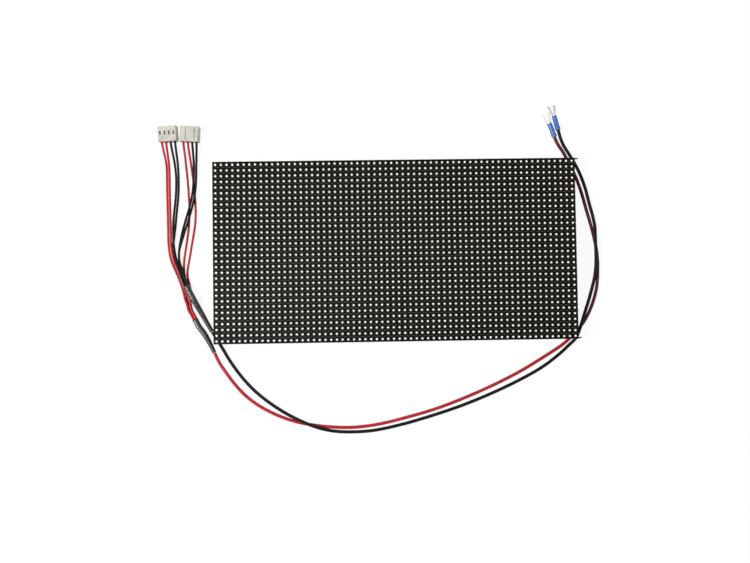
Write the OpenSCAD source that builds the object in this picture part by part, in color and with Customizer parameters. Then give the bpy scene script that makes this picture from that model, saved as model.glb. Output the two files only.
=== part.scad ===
// LED dot matrix: a display module of 64 x 32 dots, lying face up, with its loose power lead.
// Millimetres. +Z is the viewing side, +X runs along the long side and +Y along the short side.
// The origin is in the middle of the module, on the surface that its guide pins stand on.

/* [Dot matrix] */
// Distance between neighbouring dots
pitch = 5; // [4.6:0.1:6]
// Dots along the long side
columns = 64; // [56:4:68]
// Dots along the short side
rows = 32; // [24:4:32]
// Diameter of one dot
dot_d = 2.2; // [1.6:0.1:2.8]
// Height of one dot above the circuit board
dot_h = 1.5; // [1:0.1:1.8]

/* [Front mask] */
// Thickness of the plate between the dots
mask_t = 1.8; // [1.5:0.1:2.5]
// Diameter of the window round each dot
window_d = 3.4; // [3:0.1:3.6]
// Height of the louvre between two rows
louvre_h = 0.9; // [0.5:0.1:1.5]
// Width of a louvre where it leaves the plate
louvre_foot = 1.1; // [0.8:0.1:1.2]
// Width of a louvre along its crest
louvre_crest = 0.5; // [0.3:0.1:0.7]
// Gap between the left and the right half of the mask
mask_seam = 0.1; // [0.05:0.05:0.3]
// Diameter of the pegs that reach through the circuit board
peg_d = 3; // [2.6:0.1:3.4]
// How far a peg goes on into the back frame
peg_seat = 1; // [0.6:0.1:1.6]
// Length of the prong at each right-hand corner
prong_l = 3.5; // [2:0.5:6]
// Width of a prong
prong_w = 1.4; // [1:0.1:2]
// Thickness of a prong
prong_t = 1.2; // [0.8:0.1:1.5]
// How far a prong rises along its length
prong_rise = 0.4; // [0:0.1:0.7]

/* [Circuit board] */
// Thickness of the circuit board
board_t = 1.6; // [1.2:0.1:2]
// How far the board stays back from the edge of the mask
board_inset = 0.6; // [0.4:0.1:1]
// Play round a peg in its hole
peg_play = 0.15; // [0.1:0.05:0.3]

/* [Back frame] */
// Depth of the back frame
frame_depth = 9.6; // [9.4:0.1:12]
// How far the frame stays back from the edge of the mask
frame_inset = 0.4; // [0.3:0.1:0.8]
// Thickness of the frame's back plate
plate_t = 2.4; // [2:0.1:3]
// Thickness of the frame's upright walls
wall_t = 1.8; // [1.4:0.1:2.4]
// Width of the back plate along the rim
rim_w = 8; // [7.5:0.5:9]
// Width of the back plate along a rib
rib_w = 8; // [7.5:0.5:10]
// Corner radius of the bays
bay_r = 4; // [2:0.5:6]
// Corner radius of the frame
frame_r = 1; // [0.5:0.5:2]
// Inner ribs, counted in dots from the middle
inner_rib_dots = 7; // [6:1:8]
// Outer ribs, counted in dots in from the short side
outer_rib_dots = 12; // [11:1:14]
// Height of the guide pins that the module stands on
pin_h = 3.4; // [3.3:0.1:6]
// Diameter of the guide pins
pin_d = 5; // [4:0.5:6]
// Guide pins, counted in dots in from the short side
pin_dots = 7; // [6:1:9]

/* [Fixings] */
// Outer diameter of a threaded brass insert
insert_d = 5; // [4.6:0.1:5.4]
// Bore of a threaded insert
insert_bore = 2.5; // [2.2:0.1:3]
// Length of a threaded insert
insert_l = 6; // [4:0.5:7]
// Material round an insert
insert_wall = 1.8; // [1.4:0.1:2.4]
// Shank diameter of the screws that hold the mask
screw_d = 1.6; // [1.4:0.1:2]
// Head diameter of these screws
screw_head_d = 3.6; // [3:0.1:3.8]
// Head height of these screws
screw_head_h = 1.3; // [1:0.1:1.6]
// Play round a screw head and shank
screw_play = 0.25; // [0.2:0.05:0.3]
// Diameter of the boss round a screw
screw_boss_d = 7; // [6.5:0.1:7.5]

/* [Connectors] */
// Length of a data socket
socket_l = 28; // [26:0.5:30]
// Width of a data socket
socket_w = 8.9; // [8.5:0.1:9.5]
// Height of a data socket
socket_h = 9; // [8:0.1:9.4]
// Wall of a data socket
socket_wall = 1.2; // [1:0.1:1.4]
// Distance between the pins of a data socket
socket_pitch = 2.54; // [2.4:0.02:2.6]
// Distance between the pins of the power header and plugs
power_pitch = 3.96; // [3.9:0.02:4]
// Height of the power header
power_h = 9; // [8:0.1:9.4]

/* [Electronics] */
// Length of a driver chip
chip_l = 8.7; // [8:0.1:9]
// Width of a driver chip
chip_w = 3.9; // [3.6:0.1:4.2]
// Height of a driver chip
chip_h = 1.5; // [1.2:0.1:1.8]
// Diameter of a storage capacitor
can_d = 6.3; // [5:0.1:7]
// Height of a storage capacitor
can_h = 5.4; // [4:0.1:6]

/* [Power lead] */
// Diameter of the thin wires at the plugs
thin_d = 2.1; // [1.8:0.05:2.1]
// Diameter of the two long wires
main_d = 3; // [2.6:0.05:3.1]
// Diameter of a sleeve round four thin wires
sleeve_d = 5.6; // [5.2:0.1:5.8]
// Width of a plug
plug_w = 16.8; // [16.4:0.1:17.2]
// Length of a plug
plug_l = 13.6; // [12.5:0.1:15]
// Thickness of a plug
plug_h = 8; // [7.4:0.1:8.6]
// Width of a contact cavity in a plug
cavity_w = 2.6; // [2.4:0.05:2.8]
// Diameter of the collar of a fork terminal
collar_d = 4.8; // [4.4:0.1:5]
// Length of the collar of a fork terminal
collar_l = 13; // [12:0.5:14]
// Width of a fork terminal
fork_w = 8.6; // [8:0.1:9.5]
// Width of its slot
fork_slot = 4.3; // [4:0.1:4.6]
// Length of its tongue
fork_l = 9.5; // [9:0.1:11]
// Thickness of its sheet
fork_t = 0.8; // [0.6:0.1:1]

/* [Hidden] */
$fn = 48;

// The module's own levels, from the surface up
mod_l = columns * pitch;
mod_w = rows * pitch;
frame_z = pin_h;
board_z = frame_z + frame_depth;
mask_z = board_z + board_t;

// Plan of the back frame
frame_l = mod_l - 2 * frame_inset;
frame_w = mod_w - 2 * frame_inset;
bay_x = frame_l / 2 - rim_w;
bay_y = frame_w / 2 - rim_w;
inner_rib_x = inner_rib_dots * pitch;
outer_rib_x = mod_l / 2 - outer_rib_dots * pitch;
end_bay_l = bay_x - outer_rib_x - rib_w / 2;
end_bay_x = outer_rib_x + rib_w / 2 + end_bay_l / 2;
quarter_bay_l = outer_rib_x - inner_rib_x - rib_w;
quarter_bay_w = bay_y - rib_w / 2;
quarter_bay_x = (inner_rib_x + outer_rib_x) / 2;
quarter_bay_y = rib_w / 2 + quarter_bay_w / 2;
// Where the frame is parted into nodes: beside the inner ribs, past the outer ribs, and just inside the rails
seam_in_x = inner_rib_x / 2;
seam_out_x = outer_rib_x + rib_w / 2 + bay_r + 2;
seam_y = bay_y - bay_r / 5;
// Each bay is [x, y, length, width]
bays = concat(
    [[0, 0, 2 * inner_rib_x - rib_w, 2 * bay_y]],
    [for (side = [-1, 1]) [side * end_bay_x, 0, end_bay_l, 2 * bay_y]],
    [for (side = [-1, 1], row = [-1, 1])
        [side * quarter_bay_x, row * quarter_bay_y, quarter_bay_l, quarter_bay_w]]
);

// Fixings sit where four dots meet
edge_y = mod_w / 2 - pitch;
screw_spots = [for (x = [-outer_rib_x, -inner_rib_x, inner_rib_x, outer_rib_x], y = [-edge_y, 0, edge_y]) [x, y]];
insert_x = mod_l / 2 - 2 * pitch;
insert_y = mod_w / 2 - 2 * pitch;
insert_spots = [for (x = [-insert_x, 0, insert_x], y = [-insert_y, insert_y]) [x, y]];
pin_x = mod_l / 2 - pin_dots * pitch;
pin_spots = [for (x = [-pin_x, pin_x], y = [-edge_y, edge_y]) [x, y]];
peg_end_z = board_z - peg_seat;
head_top_z = frame_z + plate_t;
screw_tip_z = mask_z + 0.6;

// Places of the electronics, each [x, y] from the middle of its bay
quarter_chip_spots = [[-14, -16], [14, -16], [-14, 16], [14, 16]];
end_chip_spots = [[-16, -40], [16, -40], [-16, 40], [16, 40]];
row_chip_spots = [[-18, -44], [18, -44], [-18, 44], [18, 44]];
buffer_spots = [[0, -34], [0, 34]];
can_spots = [[-14, -20], [14, -20], [-14, 20], [14, 20]];
capacitor_offset = [0, chip_l / 2 + 2];
resistor_offset = [0, -chip_l / 2 - 2];
driver_spots = concat(
    [for (b = [3:6], s = quarter_chip_spots) [bays[b][0] + s[0], bays[b][1] + s[1]]],
    [for (b = [1, 2], s = end_chip_spots) [bays[b][0] + s[0], bays[b][1] + s[1]]]
);
row_spots = [for (s = row_chip_spots) s];
line_buffer_spots = [for (b = [1, 2], s = buffer_spots) [bays[b][0] + s[0], bays[b][1] + s[1]]];
row_chip_l = 9.9;
buffer_l = 12.8;
buffer_w = 7.5;
buffer_h = 2.3;
chip_draft = 0.25;
can_base = [6.6, 6.6, 1];

// Sockets and headers
socket_floor = 2.4;
key_w = 4.5;
key_depth = 5.5;
data_pin_w = 0.64;
pin_gap = 1;
data_pin_l = socket_h - socket_floor - pin_gap;
header_w = 8.5;
header_base_h = 3.2;
header_wall = 1.2;
power_pin_w = 1.14;
power_pin_l = power_h - header_base_h - pin_gap;
pins_per_plug = 4;
header_l = pins_per_plug * power_pitch;

// Plugs: [x, y, turn]
plug_left_place = [-201.7, 107.8, 3];
plug_right_place = [-182.2, 107.6, -3];
rail_h = 0.7;
rail_w = 1.2;
contact_w = 2.2;
contact_back = -3.2;
contact_front = 5.8;
contact_wall = 0.35;
window_w = 1.4;
window_l = 3.6;

// Fork terminals: [x, y, heading from +Y, roll]
fork_black_place = [149.9, 108.6, 14.6, 20];
fork_red_place = [146.5, 102.2, 19.6, -22];
collar_bore_l = 3;
barrel_l = 1.6;
barrel_d = 3.4;
neck_w = 3.6;

// Routes of the wires, [x, y, z] along the middle of each. They start in their plugs.
left_red_1_route = [
    [-207.5, 104.3, 4.7], [-206.7, 98, 4.6], [-205.7, 92, 3.8], [-204.7, 86, 2.6], [-204, 80, 1.5],
    [-203.8, 72, 1.1], [-203.7, 60, 1.1], [-203.5, 48, 1.1], [-203.3, 36, 1.1], [-203.1, 24, 1.1],
    [-202.9, 12, 1.1], [-202, 2, 1.1], [-199.9, -7, 1.1], [-196.1, -16, 1.1], [-192.5, -25, 1.2],
    [-189.5, -34, 1.8], [-188, -40, 3], [-186.4, -44, 3.3],
    [-184.8, -50.2, 3.5], [-182.5, -54, 3.8], [-180.2, -58.4, 3.9]
];
left_red_2_route = [
    [-203.5, 104.5, 4.7], [-203.1, 98, 4.6], [-202.6, 92, 3.8], [-202.1, 86, 2.6], [-201.7, 80, 1.5],
    [-201.5, 72, 1.1], [-201.4, 60, 1.1], [-201.2, 48, 1.1], [-201, 36, 1.1], [-200.8, 24, 1.1],
    [-200.6, 12, 1.1], [-199.6, 2, 1.1], [-197.5, -7, 1.1], [-193.7, -16, 1.1], [-190.1, -25, 1.1],
    [-187.5, -34, 1.1], [-185.9, -43, 1.1], [-184.7, -50.2, 1.2], [-182.5, -54, 1.6], [-180.2, -58.4, 1.7]
];
left_black_1_route = [
    [-199.5, 104.7, 4.7], [-198.9, 98, 4.6], [-198, 92, 3.8], [-197.1, 86, 2.6], [-196.3, 79, 1.5],
    [-195.6, 70, 1.1], [-195.6, 60, 1.1], [-196.2, 50, 1.1], [-197.2, 41, 1.1], [-198.1, 32, 1.1],
    [-198.5, 24, 1.1], [-198.3, 12, 1.1], [-197.2, 2, 1.1], [-195.1, -7, 1.2], [-192, -15, 2.6],
    [-189, -23.8, 3.6], [-187, -28.7, 3.9]
];
left_black_2_route = [
    [-195.6, 104.9, 4.7], [-195.1, 98, 4.6], [-194.6, 92, 3.8], [-194.1, 86, 2.6], [-193.7, 79, 1.5],
    [-193.4, 70, 1.1], [-193.4, 60, 1.1], [-193.9, 50, 1.1], [-194.9, 41, 1.1], [-195.8, 32, 1.1],
    [-196.4, 24, 1.7], [-197.2, 15, 3], [-197.9, 7, 3.3], [-197, 0, 3.3], [-195, -7, 3.4],
    [-192.3, -15.2, 4.8], [-189.1, -23.9, 5.8], [-187.1, -28.5, 6.1]
];
right_red_1_route = [
    [-188.3, 104.7, 4], [-188, 98, 3.8], [-187.5, 92, 3], [-187, 86, 2], [-186.4, 78, 1.2],
    [-185.6, 70, 1.1], [-184.8, 60, 1.1], [-184.2, 50, 1.1], [-183.9, 42, 1.1], [-184, 34, 1.1],
    [-184.6, 24, 1.1], [-185.9, 14, 1.1], [-187.5, 4, 1.1], [-188.9, -6, 1.1], [-189, -15, 1.1],
    [-187.7, -23, 1.1], [-186.4, -29, 1.1], [-184.9, -35.5, 1.1], [-183.6, -43, 1.1], [-182.2, -49.8, 1.2],
    [-180.5, -53, 1.6], [-178.3, -57.4, 1.7]
];
right_red_2_route = [
    [-184.4, 104.5, 4], [-184, 98, 3.8], [-183.4, 92, 3], [-182.7, 86, 2], [-181.7, 78, 1.2],
    [-180.7, 70, 1.1], [-179.8, 62, 1.1], [-179.1, 54, 1.1], [-178.5, 45, 1.1], [-178.3, 36, 1.1],
    [-179, 26, 1.1], [-180.6, 16, 1.1], [-182.4, 6, 1.1], [-184.1, -4, 1.1], [-185.8, -13, 1.1],
    [-185.9, -20, 1.1], [-184, -28, 1.1], [-182.7, -34.5, 1.7], [-183, -39.5, 2.9], [-183.3, -44, 3.3],
    [-182.2, -49.8, 3.5], [-180.5, -53, 3.8], [-178.3, -57.4, 3.9]
];
right_black_1_route = [
    [-180.4, 104.3, 4], [-180.1, 98, 4], [-179.7, 92, 3.8], [-179.3, 86, 3.5], [-179.1, 79, 3.4],
    [-179.3, 70, 3.3], [-179.9, 60, 3.3], [-181.4, 50, 3.3], [-183.9, 40, 3.3], [-187, 30, 3.2],
    [-190, 20, 2.4], [-192.4, 10, 1.4], [-193.4, 2, 1.2], [-193, -6, 1.3], [-189.9, -14.5, 3.1],
    [-186.7, -23.4, 3.8], [-185, -27.9, 3.9]
];
right_black_2_route = [
    [-176.4, 104.1, 4], [-176.4, 98, 4], [-176.5, 92, 3.8], [-176.7, 86, 3.5], [-176.9, 79, 3.4],
    [-177.1, 70, 3.3], [-177.7, 60, 3.3], [-179.1, 50, 3.3], [-181.5, 40, 3.3], [-184.5, 30, 3.4],
    [-187.7, 20, 3.4], [-190.9, 10, 3.3], [-192.8, 2, 3.3], [-192.7, -6, 3.5], [-190.2, -14.4, 5.3],
    [-186.7, -23.3, 6], [-185.1, -27.7, 6.1]
];
sleeve_red_route = [
    [-179.2, -58, 2.8], [-175.5, -65, 2.8], [-171.2, -71, 2.6], [-168, -76.5, 2.4],
    [-165, -82.5, 2.2], [-162.5, -88, 2]
];
sleeve_red_radii = [sleeve_d / 2, sleeve_d / 2, sleeve_d / 2 - 0.2, sleeve_d / 2 - 0.4,
    sleeve_d / 2 - 0.6, main_d / 2 + 0.4];
sleeve_black_route = [
    [-186, -28.2, 5], [-182.4, -35, 5.8], [-180, -39.5, 6], [-178, -43.5, 5.4],
    [-174.6, -50, 4.2], [-170.4, -58, 3], [-167.3, -63.8, 2.5], [-164.3, -69.3, 2]
];
sleeve_black_radii = [sleeve_d / 2, sleeve_d / 2, sleeve_d / 2, sleeve_d / 2, sleeve_d / 2 - 0.1,
    sleeve_d / 2 - 0.4, sleeve_d / 2 - 0.6, main_d / 2 + 0.4];
lead_red_route = [
    [-162.4, -88.2, 1.8], [-158.2, -97, 1.6], [-152.2, -106.2, 1.6], [-144.6, -116.5, 1.6],
    [-134.6, -127.3, 1.6], [-122, -136.8, 1.6], [-107, -144.7, 1.6], [-92, -150.3, 1.6], [-76, -153.8, 1.6],
    [-58, -156, 1.6], [-38, -156.5, 1.6], [-16, -154, 1.6], [8, -148.6, 1.6], [34, -141.5, 1.6],
    [60, -132.2, 1.6], [86, -121.3, 1.6], [110, -109.7, 1.6], [132, -97, 1.6], [148, -87, 1.6],
    [157, -79.7, 1.6], [164.5, -72, 1.6], [171.2, -63, 1.6], [177.5, -50, 1.6], [181.8, -35, 1.6],
    [183.2, -20, 1.6], [183, -5, 1.6], [181, 8, 1.6], [177.8, 22, 1.6], [174, 36, 1.6], [170.4, 50, 1.6],
    [165.4, 65, 1.6], [159.5, 77.5, 1.6], [154.6, 87.5, 1.7], [150, 94.3, 2.2], [147.8, 98.6, 2.4],
    [145.8, 104.2, 2.4]
];
lead_black_route = [
    [-164.1, -69.5, 1.8], [-161, -75.2, 1.6], [-156, -83.2, 1.6], [-148.6, -95.8, 1.6],
    [-138.8, -109.6, 1.6], [-126.8, -122.8, 1.6], [-112.5, -134.5, 1.7], [-97, -144.3, 2.7],
    [-80, -152.3, 4.9], [-64, -157.9, 3.7], [-46, -160.5, 1.7], [-22, -159.7, 1.6], [4, -154.7, 1.6],
    [30, -147.7, 1.6], [56, -139.5, 1.6], [82, -129.6, 1.6], [108, -118, 1.6], [130, -106.3, 1.6],
    [145.8, -95, 1.6], [155.3, -86.4, 2.2], [161, -80.4, 4], [164.1, -73.5, 4.8], [167, -65.5, 4.5],
    [170.2, -57.5, 2.7], [173.8, -48, 1.7], [177.6, -35.5, 1.7], [179.9, -24, 3.5], [180.8, -12, 4.8],
    [180.9, 0, 4.8], [180.7, 11, 4.8], [180.8, 20, 3.9], [179.7, 30, 1.9], [177, 41, 1.6],
    [173.4, 56, 1.6], [167.8, 71.3, 1.6], [160.6, 84.7, 1.6], [155, 94, 1.7], [152, 100.9, 2.2],
    [150.9, 104.9, 2.4], [149.3, 110.9, 2.4]
];
sides = 8;
thin_steps = 1;
lead_steps = 2;
sleeve_steps = 2;

// A rounded rectangle in plan
module rounded(l, w, r) {
    square([l - 2 * r, w], center = true);
    square([l, w - 2 * r], center = true);
    for (x = [-1, 1], y = [-1, 1]) translate([x * (l / 2 - r), y * (w / 2 - r)]) circle(r = r);
}

module at(spots) {
    for (spot = spots) translate([spot[0], spot[1], 0]) children();
}

// Front mask: a plate with a round window for each dot and a louvre between two rows
half_l = (mod_l - mask_seam) / 2;

module louvre(side) {
    profile = [
        [-louvre_foot / 2, 0], [louvre_foot / 2, 0],
        [louvre_crest / 2, louvre_h], [-louvre_crest / 2, louvre_h]
    ];
    translate([side * (mod_l / 2 - half_l / 2), 0, 0])
        rotate([90, 0, 90]) linear_extrude(half_l, center = true) polygon(profile);
}

module edge_louvre(side) {
    profile = [[0, 0], [louvre_foot / 2, 0], [louvre_crest / 2, louvre_h], [0, louvre_h]];
    translate([side * (mod_l / 2 - half_l / 2), 0, 0])
        rotate([90, 0, 90]) linear_extrude(half_l, center = true) polygon(profile);
}

module mask_plate(side) {
    linear_extrude(mask_t) difference() {
        translate([side * (mod_l / 2 - half_l / 2), 0]) square([half_l, mod_w], center = true);
        for (i = [0.5:columns / 2 - 0.5], j = [0.5:rows - 0.5])
            translate([side * i * pitch, j * pitch - mod_w / 2]) circle(d = window_d);
    }
}

module mask_peg() {
    difference() {
        translate([0, 0, peg_end_z - mask_z]) cylinder(d = peg_d, h = mask_z - peg_end_z);
        translate([0, 0, peg_end_z - mask_z - 1]) cylinder(d = screw_d, h = screw_tip_z - peg_end_z + 1);
    }
}

module prong() {
    linear_extrude(prong_t)
        polygon([
        [0, -prong_w / 2], [0, prong_w / 2], [prong_l, prong_w / 2 + prong_rise],
        [prong_l, prong_rise]
    ]);
}

module front_mask(side) {
    color([0.13, 0.13, 0.12]) translate([0, 0, mask_z]) difference() {
        union() {
            mask_plate(side);
            for (j = [1:rows - 1]) translate([0, j * pitch - mod_w / 2, mask_t]) louvre(side);
            translate([0, -mod_w / 2, mask_t]) edge_louvre(side);
            translate([0, mod_w / 2, mask_t]) mirror([0, 1, 0]) edge_louvre(side);
            at([for (s = screw_spots) if (s[0] * side > 0) s])
                translate([0, 0, peg_end_z - mask_z]) cylinder(d = peg_d, h = mask_z - peg_end_z);
            if (side > 0)
                for (y = [-1, 1]) translate([mod_l / 2, y * (mod_w / 2 - prong_w / 2), 0]) prong();
        }
        at([for (s = screw_spots) if (s[0] * side > 0) s])
            translate([0, 0, peg_end_z - mask_z - 1]) cylinder(d = screw_d, h = screw_tip_z - peg_end_z + 1);
    }
}

module front_mask_left() {
    front_mask(-1);
}

module front_mask_right() {
    front_mask(1);
}

// One round lamp for each dot, standing on the board behind its window
module dots() {
    color([0.96, 0.96, 0.93]) translate([0, 0, mask_z])
        for (i = [0.5:columns - 0.5], j = [0.5:rows - 0.5])
            translate([i * pitch - mod_l / 2, j * pitch - mod_w / 2, 0]) cylinder(d = dot_d, h = dot_h);
}

module circuit_board() {
    color([0.05, 0.2, 0.12]) translate([0, 0, board_z]) linear_extrude(board_t) difference() {
        square([mod_l - 2 * board_inset, mod_w - 2 * board_inset], center = true);
        at(screw_spots) circle(d = peg_d + 2 * peg_play);
    }
}

// Back frame: a back plate with seven bays, thin walls behind it, bosses and guide pins
module plate_plan() {
    difference() {
        rounded(frame_l, frame_w, frame_r);
        for (b = bays) translate([b[0], b[1]]) rounded(b[2], b[3], bay_r);
    }
}

module wall_plan() {
    difference() {
        rounded(frame_l, frame_w, frame_r);
        square([frame_l - 2 * wall_t, frame_w - 2 * wall_t], center = true);
    }
    for (b = bays) translate([b[0], b[1]]) difference() {
        rounded(b[2] + 2 * wall_t, b[3] + 2 * wall_t, bay_r + wall_t);
        rounded(b[2], b[3], bay_r);
    }
    at(screw_spots) circle(d = screw_boss_d);
}

module guide_pin() {
    tip = 0.6;
    cylinder(d1 = pin_d - 2 * tip, d2 = pin_d, h = tip);
    translate([0, 0, tip]) cylinder(d = pin_d, h = pin_h - tip + plate_t / 2);
}

module screw_way() {
    translate([0, 0, frame_z - 1]) cylinder(d = screw_head_d + 2 * screw_play, h = plate_t + 1);
    translate([0, 0, frame_z]) cylinder(d = screw_d + 2 * screw_play, h = frame_depth);
    translate([0, 0, peg_end_z]) cylinder(d = peg_d + 2 * peg_play, h = peg_seat + 1);
}

module frame_body() {
    difference() {
        union() {
            translate([0, 0, frame_z]) linear_extrude(plate_t) plate_plan();
            translate([0, 0, frame_z]) linear_extrude(frame_depth) wall_plan();
            translate([0, 0, frame_z]) at(insert_spots)
                cylinder(d = insert_d + 2 * insert_wall, h = frame_depth);
            at(pin_spots) guide_pin();
        }
        at(screw_spots) screw_way();
        at(insert_spots) translate([0, 0, frame_z - 1]) cylinder(d = insert_d, h = insert_l + 1);
    }
}

// The frame is one moulding, kept as three nodes: its middle and ends, its rails, and the ribs inside them
module rib_zone() {
    for (side = [-1, 1]) translate([side * (seam_in_x + seam_out_x) / 2, 0, frame_z + frame_depth / 2])
        cube([seam_out_x - seam_in_x, 2 * seam_y, frame_depth + 2], center = true);
}

module rail_zone() {
    for (side = [-1, 1], end = [-1, 1])
        translate([side * (seam_in_x + seam_out_x) / 2, end * (seam_y + rim_w), frame_z + frame_depth / 2])
            cube([seam_out_x - seam_in_x, 2 * rim_w, frame_depth + 2], center = true);
}

module back_frame() {
    color([0.09, 0.09, 0.1]) difference() {
        frame_body();
        rib_zone();
        rail_zone();
    }
}

module frame_rails() {
    color([0.09, 0.09, 0.1]) intersection() {
        frame_body();
        rail_zone();
    }
}

module frame_ribs() {
    color([0.09, 0.09, 0.1]) intersection() {
        frame_body();
        rib_zone();
    }
}

// Brass inserts with a groove between two knurled bands
module threaded_insert() {
    band = insert_l * 0.35;
    groove = 0.3;
    rotate_extrude() polygon([
        [insert_bore / 2, 0], [insert_d / 2, 0], [insert_d / 2, band], [insert_d / 2 - groove, band + groove],
        [insert_d / 2 - groove, insert_l - band - groove], [insert_d / 2, insert_l - band],
        [insert_d / 2, insert_l], [insert_bore / 2, insert_l]
    ]);
}

module threaded_inserts() {
    color([0.78, 0.62, 0.3]) translate([0, 0, frame_z]) at(insert_spots) threaded_insert();
}

module mask_screws() {
    slot = 0.5;
    color([0.6, 0.6, 0.62]) at(screw_spots) difference() {
        union() {
            translate([0, 0, head_top_z - screw_head_h]) cylinder(d = screw_head_d, h = screw_head_h);
            translate([0, 0, head_top_z]) cylinder(d = screw_d, h = screw_tip_z - head_top_z);
        }
        for (turn = [0, 90]) rotate([0, 0, turn])
            translate([-screw_head_d / 3, -slot / 2, head_top_z - screw_head_h - 1])
                cube([screw_head_d * 2 / 3, slot, 1 + screw_head_h / 2]);
    }
}

// Chip bodies hang from the back of the board, a little wider at mid height as moulded packages are
module chip_body(l, w, h) {
    mid = h / 2;
    profile = [
        [-w / 2 + chip_draft, 0], [w / 2 - chip_draft, 0], [w / 2, mid], [w / 2 - chip_draft, h],
        [-w / 2 + chip_draft, h], [-w / 2, mid]
    ];
    dimple = 0.8;
    translate([0, 0, board_z - h]) difference() {
        rotate([90, 0, 0]) linear_extrude(l, center = true) polygon(profile);
        translate([w / 2 - 1.2, l / 2 - 1.2, -0.8]) cylinder(d = dimple, h = 1);
    }
}

module driver_chips() {
    color([0.08, 0.08, 0.08]) at(driver_spots) chip_body(chip_l, chip_w, chip_h);
}

module row_chips() {
    color([0.08, 0.08, 0.08]) at(row_spots) chip_body(row_chip_l, chip_w, chip_h);
}

module buffer_chips() {
    color([0.08, 0.08, 0.08]) at(line_buffer_spots)
        rotate([0, 0, 90]) chip_body(buffer_l, buffer_w, buffer_h);
}

module ceramic_capacitors() {
    size = [2, 1.25, 0.85];
    color([0.72, 0.6, 0.42]) at(driver_spots)
        translate([capacitor_offset[0], capacitor_offset[1], board_z - size[2] / 2]) cube(size, center = true);
}

module resistors() {
    size = [1.6, 0.85, 0.5];
    color([0.12, 0.12, 0.13]) at(driver_spots)
        translate([resistor_offset[0], resistor_offset[1], board_z - size[2] / 2]) cube(size, center = true);
}

module capacitor_cans() {
    waist = 0.3;
    top = can_h - can_base[2];
    color([0.75, 0.76, 0.78]) at(can_spots) translate([0, 0, board_z - can_h]) rotate_extrude() polygon([
        [0, 0], [can_d / 2 - 0.4, 0], [can_d / 2, 0.4], [can_d / 2, top - 1.3], [can_d / 2 - waist, top - 1],
        [can_d / 2 - waist, top - 0.6], [can_d / 2, top - 0.3], [can_d / 2, top], [0, top]
    ]);
}

module capacitor_bases() {
    cut = 1.2;
    half = can_base / 2;
    color([0.1, 0.1, 0.1]) at(can_spots) translate([0, 0, board_z - can_base[2]]) linear_extrude(can_base[2])
        polygon([
            [-half[0], -half[1]], [half[0] - cut, -half[1]], [half[0], -half[1] + cut],
            [half[0], half[1] - cut], [half[0] - cut, half[1]], [-half[0], half[1]]
        ]);
}

// Shrouded 2 x 8 data sockets, mouth to the back, key slot towards the middle of the module
module data_socket() {
    translate([0, 0, board_z - socket_h]) difference() {
        translate([-socket_w / 2, -socket_l / 2, 0]) cube([socket_w, socket_l, socket_h]);
        translate([socket_wall - socket_w / 2, socket_wall - socket_l / 2, -1])
            cube([socket_w - 2 * socket_wall, socket_l - 2 * socket_wall, socket_h - socket_floor + 1]);
        translate([-socket_w / 2 - 1, -key_w / 2, -1]) cube([socket_wall + 2, key_w, key_depth + 1]);
    }
}

module data_sockets() {
    color([0.1, 0.1, 0.11]) for (side = [-1, 1])
        translate([side * end_bay_x, 0, 0]) mirror([side < 0 ? 1 : 0, 0, 0]) data_socket();
}

module data_pins() {
    color([0.85, 0.7, 0.35]) for (side = [-1, 1], row = [-0.5, 0.5], i = [-3.5:3.5])
        translate([side * end_bay_x + row * socket_pitch, i * socket_pitch, board_z - socket_floor - data_pin_l / 2])
            cube([data_pin_w, data_pin_w, data_pin_l], center = true);
}

// Power header: an open base with one tall wall that the plug's latch grips
module power_header() {
    slot = [4 * header_wall, 3 * header_wall, 2];
    color([0.9, 0.89, 0.85]) translate([0, 0, board_z]) difference() {
        union() {
            translate([-header_l / 2, -header_w / 2, -header_base_h]) cube([header_l, header_w, header_base_h]);
            translate([-header_l / 2, header_w / 2 - header_wall, -power_h])
                cube([header_l, header_wall, power_h]);
        }
        for (x = [-1, 1]) translate([x * header_l / 4 - slot[0] / 2, header_w / 2 - header_wall - 1, 1.5 - power_h])
            cube(slot);
    }
}

module power_pins() {
    color([0.8, 0.8, 0.8]) for (i = [-1.5:1.5])
        translate([i * power_pitch, 0, board_z - header_base_h - power_pin_l / 2])
            cube([power_pin_w, power_pin_w, power_pin_l], center = true);
}

// Plug body along Y, mating face at +Y, with a window over each contact and rails on the other side
module plug_body() {
    bevel = 0.6;
    outline = [
        [-plug_w / 2 + bevel, 0], [plug_w / 2 - bevel, 0], [plug_w / 2, bevel], [plug_w / 2, plug_h - bevel],
        [plug_w / 2 - bevel, plug_h], [-plug_w / 2 + bevel, plug_h], [-plug_w / 2, plug_h - bevel],
        [-plug_w / 2, bevel]
    ];
    difference() {
        union() {
            rotate([90, 0, 0]) linear_extrude(plug_l, center = true) polygon(outline);
            for (x = [-1, 1]) translate([x * power_pitch - rail_w / 2, 1.5 - plug_l / 2, -rail_h])
                cube([rail_w, plug_l - 3, rail_h + 0.5]);
        }
        for (i = [-1.5:1.5]) {
            translate([i * power_pitch, 0, plug_h / 2]) cube([cavity_w, plug_l + 2, cavity_w], center = true);
            translate([i * power_pitch - window_w / 2, plug_l / 2 - 8, plug_h / 2]) cube([window_w, window_l, plug_h]);
        }
    }
}

module place_left() {
    translate([plug_left_place[0], plug_left_place[1], rail_h]) rotate([0, 0, plug_left_place[2]]) children();
}

module place_right() {
    translate([plug_right_place[0], plug_right_place[1], plug_h])
        rotate([0, 0, plug_right_place[2]]) mirror([0, 0, 1]) children();
}

module plug_left() {
    color([0.88, 0.87, 0.83]) place_left() plug_body();
}

module plug_right() {
    color([0.88, 0.87, 0.83]) place_right() plug_body();
}

module contact() {
    length = contact_front - contact_back;
    inside = contact_w - 2 * contact_wall;
    translate([-contact_w / 2, contact_back, plug_h / 2 - contact_w / 2]) difference() {
        cube([contact_w, length, contact_w]);
        translate([contact_wall, 1, contact_wall]) cube([inside, length, inside]);
    }
}

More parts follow.
